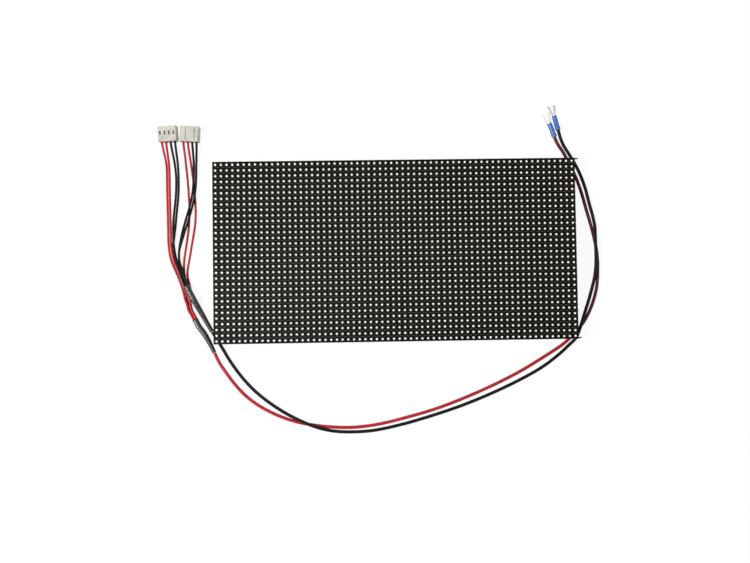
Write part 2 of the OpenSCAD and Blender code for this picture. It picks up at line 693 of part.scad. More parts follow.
module plug_contacts() {
    color([0.78, 0.78, 0.76]) {
        place_left() for (i = [-1.5:1.5]) translate([i * power_pitch, 0, 0]) contact();
        place_right() for (i = [-1.5:1.5]) translate([i * power_pitch, 0, 0]) contact();
    }
}

// A smooth line through a route's own points, cut in a few steps between two of them
function bend(a, b, c, d, t) =
    0.5 * (2 * b + (c - a) * t + (2 * a - 5 * b + 4 * c - d) * t * t + (3 * b - a - 3 * c + d) * t * t * t);
function padded(p) = concat([2 * p[0] - p[1]], p, [2 * p[len(p) - 1] - p[len(p) - 2]]);
function smooth(p, steps) = let (q = padded(p)) concat(
    [for (i = [1:len(p) - 1], k = [0:steps - 1]) bend(q[i - 1], q[i], q[i + 1], q[i + 2], k / steps)],
    [p[len(p) - 1]]
);
function between(r, steps) = concat(
    [for (i = [0:len(r) - 2], k = [0:steps - 1]) r[i] + (r[i + 1] - r[i]) * k / steps],
    [r[len(r) - 1]]
);
function unit(v) = v / norm(v);
function heading(p, i) = unit(p[min(i + 1, len(p) - 1)] - p[max(i - 1, 0)]);
function ring(p, i, r) =
    let (along = heading(p, i), across = unit([along[1], -along[0], 0]), up = cross(across, along))
    [for (k = [0:sides - 1]) let (turn = (k + 0.5) * 360 / sides) p[i] + r * (across * cos(turn) + up * sin(turn))];

// A tube along the points p, with a radius for each of them
module tube(p, radii) {
    rings = len(p);
    skin = [for (i = [0:rings - 2], k = [0:sides - 1])
        let (a = i * sides + k, b = i * sides + (k + 1) % sides) each [[a, b, b + sides], [a, b + sides, a + sides]]];
    ends = [[for (k = [0:sides - 1]) sides - 1 - k], [for (k = [0:sides - 1]) (rings - 1) * sides + k]];
    polyhedron(points = [for (i = [0:rings - 1]) each ring(p, i, radii[i])], faces = concat(skin, ends));
}

module wire(route, steps, d) {
    p = smooth(route, steps);
    tube(p, [for (i = p) d / 2]);
}

module sleeve(route, radii) {
    color([0.06, 0.06, 0.06]) tube(smooth(route, sleeve_steps), between(radii, sleeve_steps));
}

red = [0.78, 0.16, 0.16];
black = [0.09, 0.09, 0.09];

module wire_left_red_1() {
    color(red) wire(left_red_1_route, thin_steps, thin_d);
}

module wire_left_red_2() {
    color(red) wire(left_red_2_route, thin_steps, thin_d);
}

module wire_left_black_1() {
    color(black) wire(left_black_1_route, thin_steps, thin_d);
}

module wire_left_black_2() {
    color(black) wire(left_black_2_route, thin_steps, thin_d);
}

module wire_right_red_1() {
    color(red) wire(right_red_1_route, thin_steps, thin_d);
}

module wire_right_red_2() {
    color(red) wire(right_red_2_route, thin_steps, thin_d);
}

module wire_right_black_1() {
    color(black) wire(right_black_1_route, thin_steps, thin_d);
}

module wire_right_black_2() {
    color(black) wire(right_black_2_route, thin_steps, thin_d);
}

module sleeve_red() {
    sleeve(sleeve_red_route, sleeve_red_radii);
}

module sleeve_black() {
    sleeve(sleeve_black_route, sleeve_black_radii);
}

module lead_red() {
    color(red) wire(lead_red_route, lead_steps, main_d);
}

module lead_black() {
    color(black) wire(lead_black_route, lead_steps, main_d);
}

// Fork terminals at the far ends: a blue collar round the barrel and a flat forked tongue
module place_fork(place) {
    translate([place[0], place[1], collar_d / 2]) rotate([0, 0, place[2]]) rotate([0, place[3], 0]) children();
}

module collar() {
    lip = 0.25;
    rotate([-90, 0, 0]) rotate_extrude() polygon([
        [main_d / 2 + 0.1, 0], [collar_d / 2, 0], [collar_d / 2, 2], [collar_d / 2 - lip, 3],
        [collar_d / 2 - lip, collar_l], [0, collar_l], [0, collar_bore_l], [main_d / 2 + 0.1, collar_bore_l]
    ]);
}

module tongue() {
    root_d = 0.6 * fork_slot;
    tip_r = 0.7;
    translate([0, collar_l, 0]) {
        rotate([-90, 0, 0]) cylinder(d = barrel_d, h = barrel_l);
        translate([0, 0, -fork_t / 2]) linear_extrude(fork_t) difference() {
            hull() {
                translate([-neck_w / 2, barrel_l / 2]) square([neck_w, barrel_l]);
                for (side = [-1, 1]) translate([side * (fork_w / 2 - tip_r), fork_l - tip_r]) circle(r = tip_r);
            }
            hull() {
                translate([0, barrel_l + root_d]) circle(d = root_d);
                translate([-fork_slot / 2, fork_l]) square([fork_slot, 1]);
            }
        }
    }
}

module fork_collars() {
    color([0.12, 0.25, 0.68]) {
        place_fork(fork_black_place) collar();
        place_fork(fork_red_place) collar();
    }
}

module fork_terminals() {
    color([0.78, 0.78, 0.78]) {
        place_fork(fork_black_place) tongue();
        place_fork(fork_red_place) tongue();
    }
}

front_mask_left();
front_mask_right();
dots();
circuit_board();
back_frame();
frame_rails();
frame_ribs();
threaded_inserts();
mask_screws();
driver_chips();
row_chips();
buffer_chips();
ceramic_capacitors();
resistors();
capacitor_cans();
capacitor_bases();
data_sockets();
data_pins();
power_header();
power_pins();
plug_left();
plug_right();
plug_contacts();
wire_left_red_1();
wire_left_red_2();
wire_left_black_1();
wire_left_black_2();
wire_right_red_1();
wire_right_red_2();
wire_right_black_1();
wire_right_black_2();
sleeve_red();
sleeve_black();
lead_red();
lead_black();
fork_collars();
fork_terminals();
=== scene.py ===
"""Dresses an LED dot matrix: the louvred mask, its lamps, the board and the loose power lead.

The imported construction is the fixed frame. Lengths in this file are millimetres and are turned
into metres by MM, where a mesh, a place or a size is handed to Blender or to the frame.
"""

import logging
import math
from dataclasses import dataclass, field
from enum import Enum
from typing import Callable, Optional, Protocol, Sequence, Union

import bpy
import numpy as np
from mathutils import Euler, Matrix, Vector


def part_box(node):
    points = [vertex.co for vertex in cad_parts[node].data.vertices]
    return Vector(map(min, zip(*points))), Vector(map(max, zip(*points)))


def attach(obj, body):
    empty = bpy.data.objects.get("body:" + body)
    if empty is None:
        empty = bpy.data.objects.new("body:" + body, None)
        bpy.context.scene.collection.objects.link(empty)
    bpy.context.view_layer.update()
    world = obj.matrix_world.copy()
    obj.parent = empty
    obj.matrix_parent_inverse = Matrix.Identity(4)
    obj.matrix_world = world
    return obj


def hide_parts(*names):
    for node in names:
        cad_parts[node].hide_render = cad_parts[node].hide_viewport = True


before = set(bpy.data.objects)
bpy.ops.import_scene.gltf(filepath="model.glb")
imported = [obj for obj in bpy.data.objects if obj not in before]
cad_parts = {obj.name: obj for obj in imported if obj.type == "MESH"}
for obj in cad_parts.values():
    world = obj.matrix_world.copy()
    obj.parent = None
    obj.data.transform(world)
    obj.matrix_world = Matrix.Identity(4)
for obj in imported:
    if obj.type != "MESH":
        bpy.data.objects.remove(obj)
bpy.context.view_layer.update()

MM = 0.001
BODY = "root"
LOG = logging.getLogger("dot_matrix")
Colour = tuple[float, float, float]
Point = tuple[float, float, float]
Face = Sequence[int]
Radii = Callable[[float, np.ndarray], np.ndarray]


# ---------------------------------------------------------------------------------------------
# Shader building


class Value:
    """What a node's output gives. An expression on a number adds Math nodes."""

    def __init__(self, shader: "Shader", socket: bpy.types.NodeSocket) -> None:
        """Keeps the socket and the shader that it belongs to.

        Args:
            shader: The shader whose tree new nodes go into.
            socket: The output socket that gives the number.
        """
        self.shader = shader
        self.socket = socket

    def maths(self, operation: str, *numbers: "Number") -> "Value":
        """Adds one Math node with its inputs in order, and gives its result."""
        inputs = dict(enumerate(numbers))
        return self.shader.value("ShaderNodeMath", {"operation": operation}, inputs)

    def __add__(self, other: "Number") -> "Value":
        """Self plus other."""
        return self.maths("ADD", self, other)

    def __radd__(self, other: "Number") -> "Value":
        """Other plus self."""
        return self.maths("ADD", other, self)

    def __sub__(self, other: "Number") -> "Value":
        """Self minus other."""
        return self.maths("SUBTRACT", self, other)

    def __rsub__(self, other: "Number") -> "Value":
        """Other minus self."""
        return self.maths("SUBTRACT", other, self)

    def __mul__(self, other: "Number") -> "Value":
        """Self times other."""
        return self.maths("MULTIPLY", self, other)

    def __rmul__(self, other: "Number") -> "Value":
        """Other times self."""
        return self.maths("MULTIPLY", other, self)

    def __truediv__(self, other: "Number") -> "Value":
        """Self over other."""
        return self.maths("DIVIDE", self, other)

    def __rtruediv__(self, other: "Number") -> "Value":
        """Other over self."""
        return self.maths("DIVIDE", other, self)

    def __abs__(self) -> "Value":
        """Self without its sign."""
        return self.maths("ABSOLUTE", self)

    def centred(self) -> "Value":
        """A field of 0 to 1, moved so that its middle is 0."""
        return self - 0.5

    def fraction(self) -> "Value":
        """The part of self after the point."""
        return self.maths("FRACT", self)

    def root(self) -> "Value":
        """The square root of self."""
        return self.maths("SQRT", self)

    def largest(self, other: "Number") -> "Value":
        """The larger of self and other."""
        return self.maths("MAXIMUM", self, other)

    def ramp(self, low: float, high: float) -> "Value":
        """Rises smoothly from 0 to 1 while self goes from low to high.

        Args:
            low: Where the result leaves 0.
            high: Where the result reaches 1.

        Returns:
            The smooth step.
        """
        settings = {"interpolation_type": "SMOOTHSTEP"}
        inputs = {"Value": self, "From Min": low, "From Max": high}
        return self.shader.value("ShaderNodeMapRange", settings, inputs)


Number = Union[float, Value]


class Shader:
    """The node tree of a material or of the world, with a single way to add any node."""

    def __init__(self, name: str, world: bool = False) -> None:
        """Starts an empty tree.

        Args:
            name: The name of its owner.
            world: Whether its owner is a world and not a material.
        """
        self.owner = (bpy.data.worlds if world else bpy.data.materials).new(name)
        self.owner.use_nodes = True
        self.tree = self.owner.node_tree
        self.tree.nodes.clear()

    def node(
        self, kind: str, settings: Optional[dict] = None, inputs: Optional[dict] = None
    ) -> bpy.types.Node:
        """Adds a node.

        Args:
            kind: The node's type.
            settings: Its own settings, set before the inputs.
            inputs: Numbers, colours or links, by the sockets' names or numbers.

        Returns:
            The node.
        """
        made = self.tree.nodes.new(kind)
        for name, setting in (settings or {}).items():
            setattr(made, name, setting)
        for name, given in (inputs or {}).items():
            socket = made.inputs[name]
            if isinstance(given, Value):
                self.tree.links.new(given.socket, socket)
            elif socket.type == "RGBA":
                socket.default_value = (*given, 1.0)
            else:
                socket.default_value = given
        return made

    def value(
        self,
        kind: str,
        settings: Optional[dict] = None,
        inputs: Optional[dict] = None,
        output: Union[int, str] = 0,
    ) -> Value:
        """Adds a node and gives one of its outputs.

        Args:
            kind: The node's type.
            settings: Its own settings.
            inputs: Its sockets' numbers, colours or links.
            output: The output's name or number.

        Returns:
            That output.
        """
        return Value(self, self.node(kind, settings, inputs).outputs[output])

    def place(self) -> Value:
        """The surface point in the object's own metres."""
        return self.value("ShaderNodeTexCoord", output="Object")

    def axes(self) -> list[Value]:
        """The surface point's X, Y and Z in millimetres."""
        split = self.node("ShaderNodeSeparateXYZ", inputs={0: self.place()})
        return [Value(self, socket) / MM for socket in split.outputs]

    def noise(self, size: float, detail: float = 3.0, stretch: Optional[Point] = None) -> Value:
        """A soft random field.

        Args:
            size: The size of its patches in millimetres.
            detail: How many finer layers it has.
            stretch: How many times longer a patch is along each axis.

        Returns:
            The field, about 0.5 on average.
        """
        where = self.place()
        if stretch:
            scale = tuple(1 / s for s in stretch)
            where = self.value("ShaderNodeMapping", inputs={"Vector": where, "Scale": scale})
        inputs = {"Vector": where, "Scale": 1 / (size * MM), "Detail": detail}
        return self.value("ShaderNodeTexNoise", inputs=inputs)

    def blend(
        self, share: Number, first: Union[Colour, Value], second: Union[Colour, Value]
    ) -> Value:
        """Mixes two colours or links: a share of 0 gives the first, 1 the second."""
        inputs = {0: share, 6: first, 7: second}
        return self.value("ShaderNodeMix", {"data_type": "RGBA"}, inputs, output=2)

    def bump(self, height: Value, depth: float) -> Value:
        """Gives a surface direction, where height 1 stands depth millimetres above height 0."""
        inputs = {"Height": height, "Distance": depth * MM, "Strength": 1.0}
        return self.value("ShaderNodeBump", inputs=inputs, output="Normal")

    def surface(self, **sockets: object) -> bpy.types.Material:
        """Ends the tree in a Principled shader.

        Args:
            sockets: Numbers, colours or links by socket name, with _ for a space.

        Returns:
            The finished material.
        """
        inputs = {name.replace("_", " "): given for name, given in sockets.items()}
        shader = self.value("ShaderNodeBsdfPrincipled", inputs=inputs)
        self.node("ShaderNodeOutputMaterial", inputs={"Surface": shader})
        return self.owner

    def backdrop(self, plain: Value, white: Value, share: float = 1.0) -> Value:
        """Shows white where the tree is seen, mirrored or looked at through glass.

        Args:
            plain: The shader that lights the object.
            white: The shader that shows.
            share: How much of the second one shows.

        Returns:
            The mixed shader.
        """
        rays = self.node("ShaderNodeLightPath")
        seen, mirrored, through = (
            Value(self, rays.outputs[name])
            for name in ("Is Camera Ray", "Is Glossy Ray", "Is Transmission Ray")
        )
        inputs = {0: share * (seen + mirrored + through), 1: plain, 2: white}
        return self.value("ShaderNodeMixShader", inputs=inputs)


# ---------------------------------------------------------------------------------------------
# Finishes


def scaled(colour: Colour, by: float) -> Colour:
    """A colour made paler or darker, at most white."""
    return tuple(min(1.0, by * channel) for channel in colour)


class Recipe(Protocol):
    """Anything that can build a material."""

    def material(self) -> bpy.types.Material:
        """Builds the material."""


@dataclass(frozen=True)
class Moulding:
    """A moulded plastic with a fine grain and slow changes of tone.

    Attributes:
        name: The material's name.
        colour: Its colour.
        shade: Its colour where it is a little darker or paler.
        roughness: How matt it is.
        grain: Size of the grain.
        relief: Depth of the grain.
        softness: How much light passes under the surface.
        patch: Size of a patch of one tone.
        spread: How far red, green and blue light go under the surface.
    """

    name: str
    colour: Colour
    shade: Colour
    roughness: float = 0.5
    grain: float = 0.35
    relief: float = 0.02
    softness: float = 0.0
    patch: float = 9.0
    spread: Point = (1.2, 1.0, 0.8)

    def material(self) -> bpy.types.Material:
        """Builds the material.

        Returns:
            The material.
        """
        shader = Shader(self.name)
        tone = shader.noise(self.patch, detail=4.0)
        grain = shader.noise(self.grain, detail=2.0)
        return shader.surface(
            Base_Color=shader.blend(tone.ramp(0.35, 0.7), self.colour, self.shade),
            Roughness=self.roughness + 0.16 * tone.centred(),
            Subsurface_Weight=self.softness,
            Subsurface_Radius=tuple(length * MM for length in self.spread),
            Normal=shader.bump(grain, self.relief),
        )


@dataclass(frozen=True)
class Insulation:
    """Drawn PVC round a wire: smooth, a little wavy, with faint scuffs, and where asked a painted
    shade.

    Attributes:
        name: The material's name.
        colour: Its colour.
        shade: Its colour where it is scuffed.
        roughness: How matt it is.
        gloss: How strongly it mirrors, where 0.5 is common plastic.
        painted_shade_at: Where a painted shade darkens it, if anywhere: limits for X plus a share
            of Y.
        painted_shade: Its painted shade colour beyond them.
        slant: The share of Y in that sum.
        waver: How far the limits wander.
        wave: Length of a wave in the surface.
        relief: Depth of the waves.
    """

    name: str
    colour: Colour
    shade: Colour
    roughness: float = 0.34
    gloss: float = 0.12
    painted_shade_at: Optional[tuple[float, float]] = None
    painted_shade: Colour = (0.05, 0.008, 0.01)
    slant: float = 0.25
    waver: float = 14.0
    wave: float = 5.0
    relief: float = 0.12

    def material(self) -> bpy.types.Material:
        """Builds the material.

        Returns:
            The material.
        """
        shader = Shader(self.name)
        tone = shader.noise(14.0)
        scuffs = shader.noise(1.1, detail=5.0).ramp(0.52, 0.78)
        waves = shader.noise(self.wave, detail=1.0)
        colour = shader.blend(
            0.35 * scuffs + 0.5 * tone.ramp(0.4, 0.7), self.colour, self.shade
        )
        # Painted shade: past a slanted, wavering line the wire is darkened to stand for the shade
        # it lies in.
        if self.painted_shade_at:
            x, y, _ = shader.axes()
            far = x + self.slant * y + self.waver * tone.centred()
            colour = shader.blend(0.9 * far.ramp(*self.painted_shade_at), colour, self.painted_shade)
        return shader.surface(
            Base_Color=colour,
            Roughness=self.roughness + 0.2 * scuffs,
            Specular_IOR_Level=self.gloss,
            Normal=shader.bump(waves + 0.1 * scuffs, self.relief),
        )


@dataclass(frozen=True)
class Metal:
    """A plated or turned metal with fine scratches.

    Attributes:
        name: The material's name.
        colour: Its colour.
        dull: Its colour where it has dulled.
        roughness: How matt it is.
        stain: Size of a dull patch.
        scratch: Width of a scratch.
        run: How many times longer than wide a scratch is.
    """

    name: str
    colour: Colour
    dull: Colour
    roughness: float = 0.28
    stain: float = 1.6
    scratch: float = 0.25
    run: float = 9.0

    def material(self) -> bpy.types.Material:
        """Builds the material.

        Returns:
            The material.
        """
        shader = Shader(self.name)
        stains = shader.noise(self.stain, detail=4.0).ramp(0.4, 0.75)
        scratches = shader.noise(self.scratch, detail=2.0, stretch=(1.0, self.run, 1.0))
        return shader.surface(
            Base_Color=shader.blend(stains, self.colour, self.dull),
            Metallic=1.0,
            Roughness=self.roughness + 0.22 * stains,
            Normal=shader.bump(scratches, depth=0.01),
        )


@dataclass(frozen=True)
class ShrunkSleeve:
    """Black sleeving that was shrunk with hot air: glossy, with fine wrinkles.

    Attributes:
        name: The material's name.
        colour: Its colour.
        bloom: Its colour where the air has dulled it.
        wrinkle: Size of a wrinkle.
        relief: Depth of a wrinkle.
    """

    name: str = "shrunk_sleeve"
    colour: Colour = (0.004, 0.004, 0.0045)
    bloom: Colour = (0.014, 0.014, 0.015)
    wrinkle: float = 0.9
    relief: float = 0.12

    def material(self) -> bpy.types.Material:
        """Builds the material.

        Returns:
            The material.
        """
        shader = Shader(self.name)
        bloom = shader.noise(4.0, detail=4.0).ramp(0.5, 0.75)
        wrinkles = shader.noise(self.wrinkle, detail=4.0)
        return shader.surface(
            Base_Color=shader.blend(bloom, self.colour, self.bloom),
            Roughness=0.24 + 0.25 * bloom,
            Normal=shader.bump(wrinkles, self.relief),
        )


@dataclass(frozen=True)
class MaskBlack:
    """The mask's matt black: crests painted pale as lit, troughs dark as shaded, dusted in the
    grain.

    Attributes:
        face_z: Height of the face.
        crest_z: Height of a crest.
        trough: Painted shade: its colour at the level of the face.
        crest: Painted highlight: its colour along the top of a louvre.
        dust_and_sheen_gain: How much paler a crest is where it is dusted, which also paints sheen
            there.
        rise: How far above the face the painted light starts to change.
        roughness: How matt it is.
        gloss: How strongly it mirrors, where 0.5 is common plastic.
        grain: Size of the grain.
        relief: Depth of the grain.
    """

    face_z: float
    crest_z: float
    trough: Colour = (0.003, 0.002, 0.0)
    crest: Colour = (0.047, 0.0425, 0.03)
    dust_and_sheen_gain: float = 1.35
    rise: float = 0.35
    roughness: float = 0.48
    gloss: float = 0.07
    grain: float = 0.3
    relief: float = 0.02

    def material(self) -> bpy.types.Material:
        """Builds the material.

        Returns:
            The material.
        """
        shader = Shader("mask_black")
        _, _, z = shader.axes()
        # Painted light: painted shade at the face, painted highlight on the crests, paler in
        # dusted and sheen patches.
        lift = z.ramp(self.face_z + self.rise, self.crest_z)
        grain = shader.noise(self.grain, detail=2.0)
        dust_and_sheen = shader.noise(30.0, detail=5.0).ramp(0.35, 0.75)
        shade_to_highlight = shader.blend(lift, self.trough, self.crest)
        return shader.surface(
            Base_Color=shader.blend(0.3 * dust_and_sheen * lift, shade_to_highlight, scaled(self.crest, self.dust_and_sheen_gain)),
            Roughness=self.roughness + 0.12 * grain.centred(),
            Specular_IOR_Level=self.gloss,
            Normal=shader.bump(grain, self.relief),
        )


@dataclass(frozen=True)
class LampWhite:
    """The lamps' white packages, with a milky window over three chips.

    Attributes:
        pitch: Distance between lamps.
        cup_r: Radius of the window.
        rim: Width over which the window's edge fades.
        chip_step: Distance between chips.
        chip_half: Half the width of a chip, where it starts and where it ends to fade.
        body: Colour of the package.
        window: Colour of the window.
        chip: Colour of a chip that shows through it.
    """

    pitch: float
    cup_r: float
    rim: float = 0.08
    chip_step: float = 0.42
    chip_half: tuple[float, float] = (0.11, 0.16)
    body: Colour = (0.95, 0.95, 0.93)
    window: Colour = (0.97, 0.965, 0.94)
    chip: Colour = (0.74, 0.7, 0.6)

    def material(self) -> bpy.types.Material:
        """Builds the material.

        Returns:
            The material.
        """
        shader = Shader("lamp_white")
        x, y, _ = shader.axes()
        across = (x / self.pitch).fraction().centred() * self.pitch
        along = (y / self.pitch).fraction().centred() * self.pitch
        from_middle = (across * across + along * along).root()
        inside = 1 - from_middle.ramp(self.cup_r - self.rim, self.cup_r)
        chips: Number = 0.0
        for place in (-1, 0, 1):
            away = abs(across).largest(abs(along - place * self.chip_step))
            chips = chips + (1 - away.ramp(*self.chip_half))
        colour = shader.blend(inside, self.body, self.window)
        return shader.surface(
            Base_Color=shader.blend(chips * inside, colour, self.chip),
            Roughness=0.42 - 0.28 * inside,
        )


@dataclass(frozen=True)
class Laminate:
    """The circuit board: black lacquer to the lamps, green lacquer with tracks to the back.

    Attributes:
        front_z: Height of the side with the lamps.
        back_z: Height of the back.
        grid: Distance between tracks.
        skin: Thickness of the lacquer at the edges.
        relief: How far a track stands up.
        green: Colour of the lacquer on the back.
        track: Its colour over copper.
        core: Colour of the bare edge.
        black: Colour of the lacquer on the front.
    """

    front_z: float
    back_z: float
    grid: float = 1.27
    skin: float = 0.04
    relief: float = 0.035
    green: Colour = (0.008, 0.07, 0.034)
    track: Colour = (0.011, 0.1, 0.045)
    core: Colour = (0.42, 0.36, 0.16)
    black: Colour = (0.012, 0.012, 0.011)

    def material(self) -> bpy.types.Material:
        """Builds the material.

        Returns:
            The material.
        """
        shader = Shader("circuit_board")
        x, y, z = shader.axes()
        wander = shader.noise(22.0, detail=1.0)
        lanes = abs((y / self.grid + 1.6 * wander).fraction().centred())
        posts = abs((x / self.grid + 1.2 * wander).fraction().centred())
        split = shader.noise(11.0, detail=0.0).ramp(0.5, 0.52)
        tracks = 1 - (lanes * split + posts * (1 - split)).ramp(0.16, 0.2)
        front = z.ramp(self.front_z - 2 * self.skin, self.front_z - self.skin)
        back = 1 - z.ramp(self.back_z + self.skin, self.back_z + 2 * self.skin)
        sides = shader.blend(front, self.core, self.black)
        return shader.surface(
            Base_Color=shader.blend(back, sides, shader.blend(tracks, self.green, self.track)),
            Roughness=0.34 + 0.1 * wander.centred(),
            Normal=shader.bump(tracks * back, self.relief),
        )


@dataclass(frozen=True)
class Ceramic:
    """The fired body of a small capacitor or resistor.

    Attributes:
        name: The material's name.
        colour: Its colour.
        paler: How much paler its specks are.
        speck: Size of a speck.
    """

    name: str
    colour: Colour
    paler: float = 1.3
    speck: float = 0.2

    def material(self) -> bpy.types.Material:
        """Builds the material.

        Returns:
            The material.
        """
        shader = Shader(self.name)
        specks = shader.noise(self.speck)
        pale = scaled(self.colour, self.paler)
        return shader.surface(
            Base_Color=shader.blend(specks.ramp(0.4, 0.7), self.colour, pale),
            Roughness=0.45 + 0.2 * specks.centred(),
        )


class Finish(Enum):
    """The named finishes that several nodes and pieces share."""

    FRAME = Moulding(
        "frame_black", (0.018, 0.018, 0.019), (0.026, 0.026, 0.027),
        roughness=0.55, grain=0.4, relief=0.03,
    )
    SOCKET = Moulding(
        "socket_black", (0.014, 0.014, 0.015), (0.02, 0.02, 0.021),
        roughness=0.42, grain=0.25, relief=0.01,
    )
    CHIP = Moulding(
        "chip_black", (0.016, 0.016, 0.017), (0.024, 0.024, 0.025),
        roughness=0.6, grain=0.12, relief=0.01,
    )
    NYLON = Moulding(
        "plug_nylon", (0.45, 0.435, 0.385), (0.36, 0.345, 0.3),
        roughness=0.38, grain=0.5, relief=0.012, softness=0.12,
    )
    HEADER = Moulding(
        "header_nylon", (0.62, 0.61, 0.55), (0.55, 0.54, 0.48),
        roughness=0.38, grain=0.5, relief=0.012, softness=0.12,
    )
    COLLAR = Moulding(
        "collar_blue", (0.008, 0.085, 0.34), (0.012, 0.11, 0.42), roughness=0.24, grain=0.8
    )
    TIN = Metal("tin_plate", (0.5, 0.49, 0.46), (0.3, 0.29, 0.27), roughness=0.26)
    ZINC = Metal("zinc_plate", (0.6, 0.61, 0.63), (0.42, 0.43, 0.45), roughness=0.32)
    GOLD = Metal("gold_flash", (0.86, 0.66, 0.3), (0.7, 0.52, 0.24), roughness=0.2)
    BRASS = Metal("turned_brass", (0.78, 0.58, 0.26), (0.55, 0.4, 0.18), roughness=0.3)
    CAN = Metal("capacitor_can", (0.78, 0.79, 0.8), (0.62, 0.63, 0.64), roughness=0.3)
    RED = Insulation("wire_red", (0.36, 0.013, 0.021), (0.44, 0.03, 0.038))
    # Painted shade: the long red lead is darkened towards its forks, where it lies in shade.
    RED_LONG = Insulation(
        "wire_red_long", (0.36, 0.013, 0.021), (0.44, 0.03, 0.038), painted_shade_at=(134.0, 156.0)
    )
    BLACK = Insulation(
        "wire_black", (0.003, 0.003, 0.003), (0.006, 0.006, 0.0065), roughness=0.5
    )
    SLEEVE = ShrunkSleeve()
    CAPACITOR = Ceramic("ceramic_tan", (0.42, 0.3, 0.17))
    RESISTOR = Ceramic("resistor_black", (0.02, 0.02, 0.024))


class Dresser:
    """Gives nodes and pieces their materials, each built once, and settles the pieces."""

    def __init__(self) -> None:
        """Starts with no material."""
        self.made: dict[str, bpy.types.Material] = {}

    def dress(self, piece: bpy.types.Object, finish: Union[Finish, Recipe]) -> None:
        """Puts a finish on a piece.

        Args:
            piece: A CAD node's object or an added one.
            finish: A named finish, or a recipe of its own.
        """
        recipe = finish.value if isinstance(finish, Finish) else finish
        key = repr(recipe)
        if key not in self.made:
            self.made[key] = recipe.material()
        piece.data.materials.clear()
        piece.data.materials.append(self.made[key])

    def settle(
        self,
        piece: bpy.types.Object,
        finish: Union[Finish, Recipe],
        slot: Optional[str] = None,
        node: Optional[str] = None,
    ) -> bpy.types.Object:
        """Dresses a piece, puts it on the body and hides the node that it stands for.

        Args:
            piece: The piece.
            finish: Its finish.
            slot: Not used.
            node: The node that it replaces, if any.

        Returns:
            The piece.
        """
        self.dress(piece, finish)
        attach(piece, BODY)
        if node:
            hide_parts(node)
        return piece


# ---------------------------------------------------------------------------------------------
# Mesh building


def make_mesh(
    name: str, points: np.ndarray, faces: Sequence[Face], smooth: bool = False
) -> bpy.types.Object:
    """Makes an object from points in millimetres.

    Args:
        name: The piece's name.
        points: One row for each point.
        faces: Lists of point numbers.
        smooth: Whether the faces are shaded smoothly.

    Returns:
        The object, in the scene.
    """
    mesh = bpy.data.meshes.new(name)
    mesh.from_pydata((np.asarray(points, float) * MM).tolist(), [], [list(f) for f in faces])
    mesh.update()
    mesh.polygons.foreach_set("use_smooth", [smooth] * len(mesh.polygons))
    made = bpy.data.objects.new(name, mesh)
    bpy.context.scene.collection.objects.link(made)
    return made


class Heap:
    """Forms gathered into one mesh."""

    def __init__(self) -> None:
        """Starts with no form."""
        self.points: list[np.ndarray] = []
        self.faces: list[Face] = []
        self.count = 0

    def add(self, points: Sequence[Point], faces: Sequence[Face]) -> None:
        """Adds one form.

        Args:
            points: Its points.
            faces: Its faces, with its own first point as number 0.
        """
        self.points.append(np.asarray(points, float))
        self.faces += [[self.count + i for i in face] for face in faces]
        self.count += len(points)

    def piece(self, name: str) -> bpy.types.Object:
        """Makes the gathered forms into one object."""
        return make_mesh(name, np.vstack(self.points), self.faces)


def strip(first: Sequence[int], second: Sequence[int], closed: bool = True) -> list[Face]:
    """Quads between two rows of points.

    Args:
        first: One row of point numbers.
        second: The other row, as long.
        closed: Whether the rows are rings.

    Returns:
        The quads.
    """
    count = len(first)
    pairs = [(k, (k + 1) % count) for k in range(count if closed else count - 1)]
    return [(first[k], first[after], second[after], second[k]) for k, after in pairs]


def tube(rings: int, count: int) -> list[Face]:
    """Quads between rings of points that are numbered one ring after the other.

    Args:
        rings: How many rings there are.
        count: How many points each has.

    Returns:
        The quads.
    """
    starts = range(0, (rings - 1) * count, count)
    return [
        quad
        for start in starts
        for quad in strip(range(start, start + count), range(start + count, start + 2 * count))
    ]


def triangulate(faces: Sequence[Face]) -> np.ndarray:
    """Cuts quads into triangles and drops what has no width.

    Args:
        faces: Faces of four points, of which two may be the same.

    Returns:
        One row of three points for each triangle.
    """
    cut = [half for a, b, c, d in faces for half in ((a, b, c), (a, c, d))]
    return np.array([triangle for triangle in cut if len(set(triangle)) == 3])


def copies(
    points: np.ndarray, faces: np.ndarray, places: np.ndarray
) -> tuple[np.ndarray, list[Face]]:
    """Repeats one form at many places.

    Args:
        points: The form's points.
        faces: Its faces, each with the same number of points.
        places: One row for each copy.

    Returns:
        The points and faces of all copies.
    """
    every = (places[:, None, :] + points[None, :, :]).reshape(-1, 3)
    shift = np.arange(len(places)) * len(points)
    shifted = shift[:, None, None] + faces[None, :, :]
    return every, shifted.reshape(-1, faces.shape[1]).tolist()


def smooth_step(share: float) -> float:
    """Rises smoothly from 0 to 1 as share does, and is level on both sides."""
    share = min(1.0, max(0.0, share))
    return share * share * (3 - 2 * share)


def smooth_route(route: Sequence[Point], steps: int) -> np.ndarray:
    """A smooth line through a route's own points.

    Args:
        route: The points.
        steps: How many pieces each stretch is cut into.

    Returns:
        The points of the line.
    """
    p = np.array(route, float)
    q = np.vstack([2 * p[0] - p[1], p, 2 * p[-1] - p[-2]])
    line = []
    for a, b, c, d in zip(q[:-3], q[1:-2], q[2:-1], q[3:]):
        for t in np.arange(steps) / steps:
            linear = (c - a) * t
            square = (2 * a - 5 * b + 4 * c - d) * t**2
            cube = (3 * b - a - 3 * c + d) * t**3
            line.append(0.5 * (2 * b + linear + square + cube))
    line.append(p[-1])
    return np.array(line)


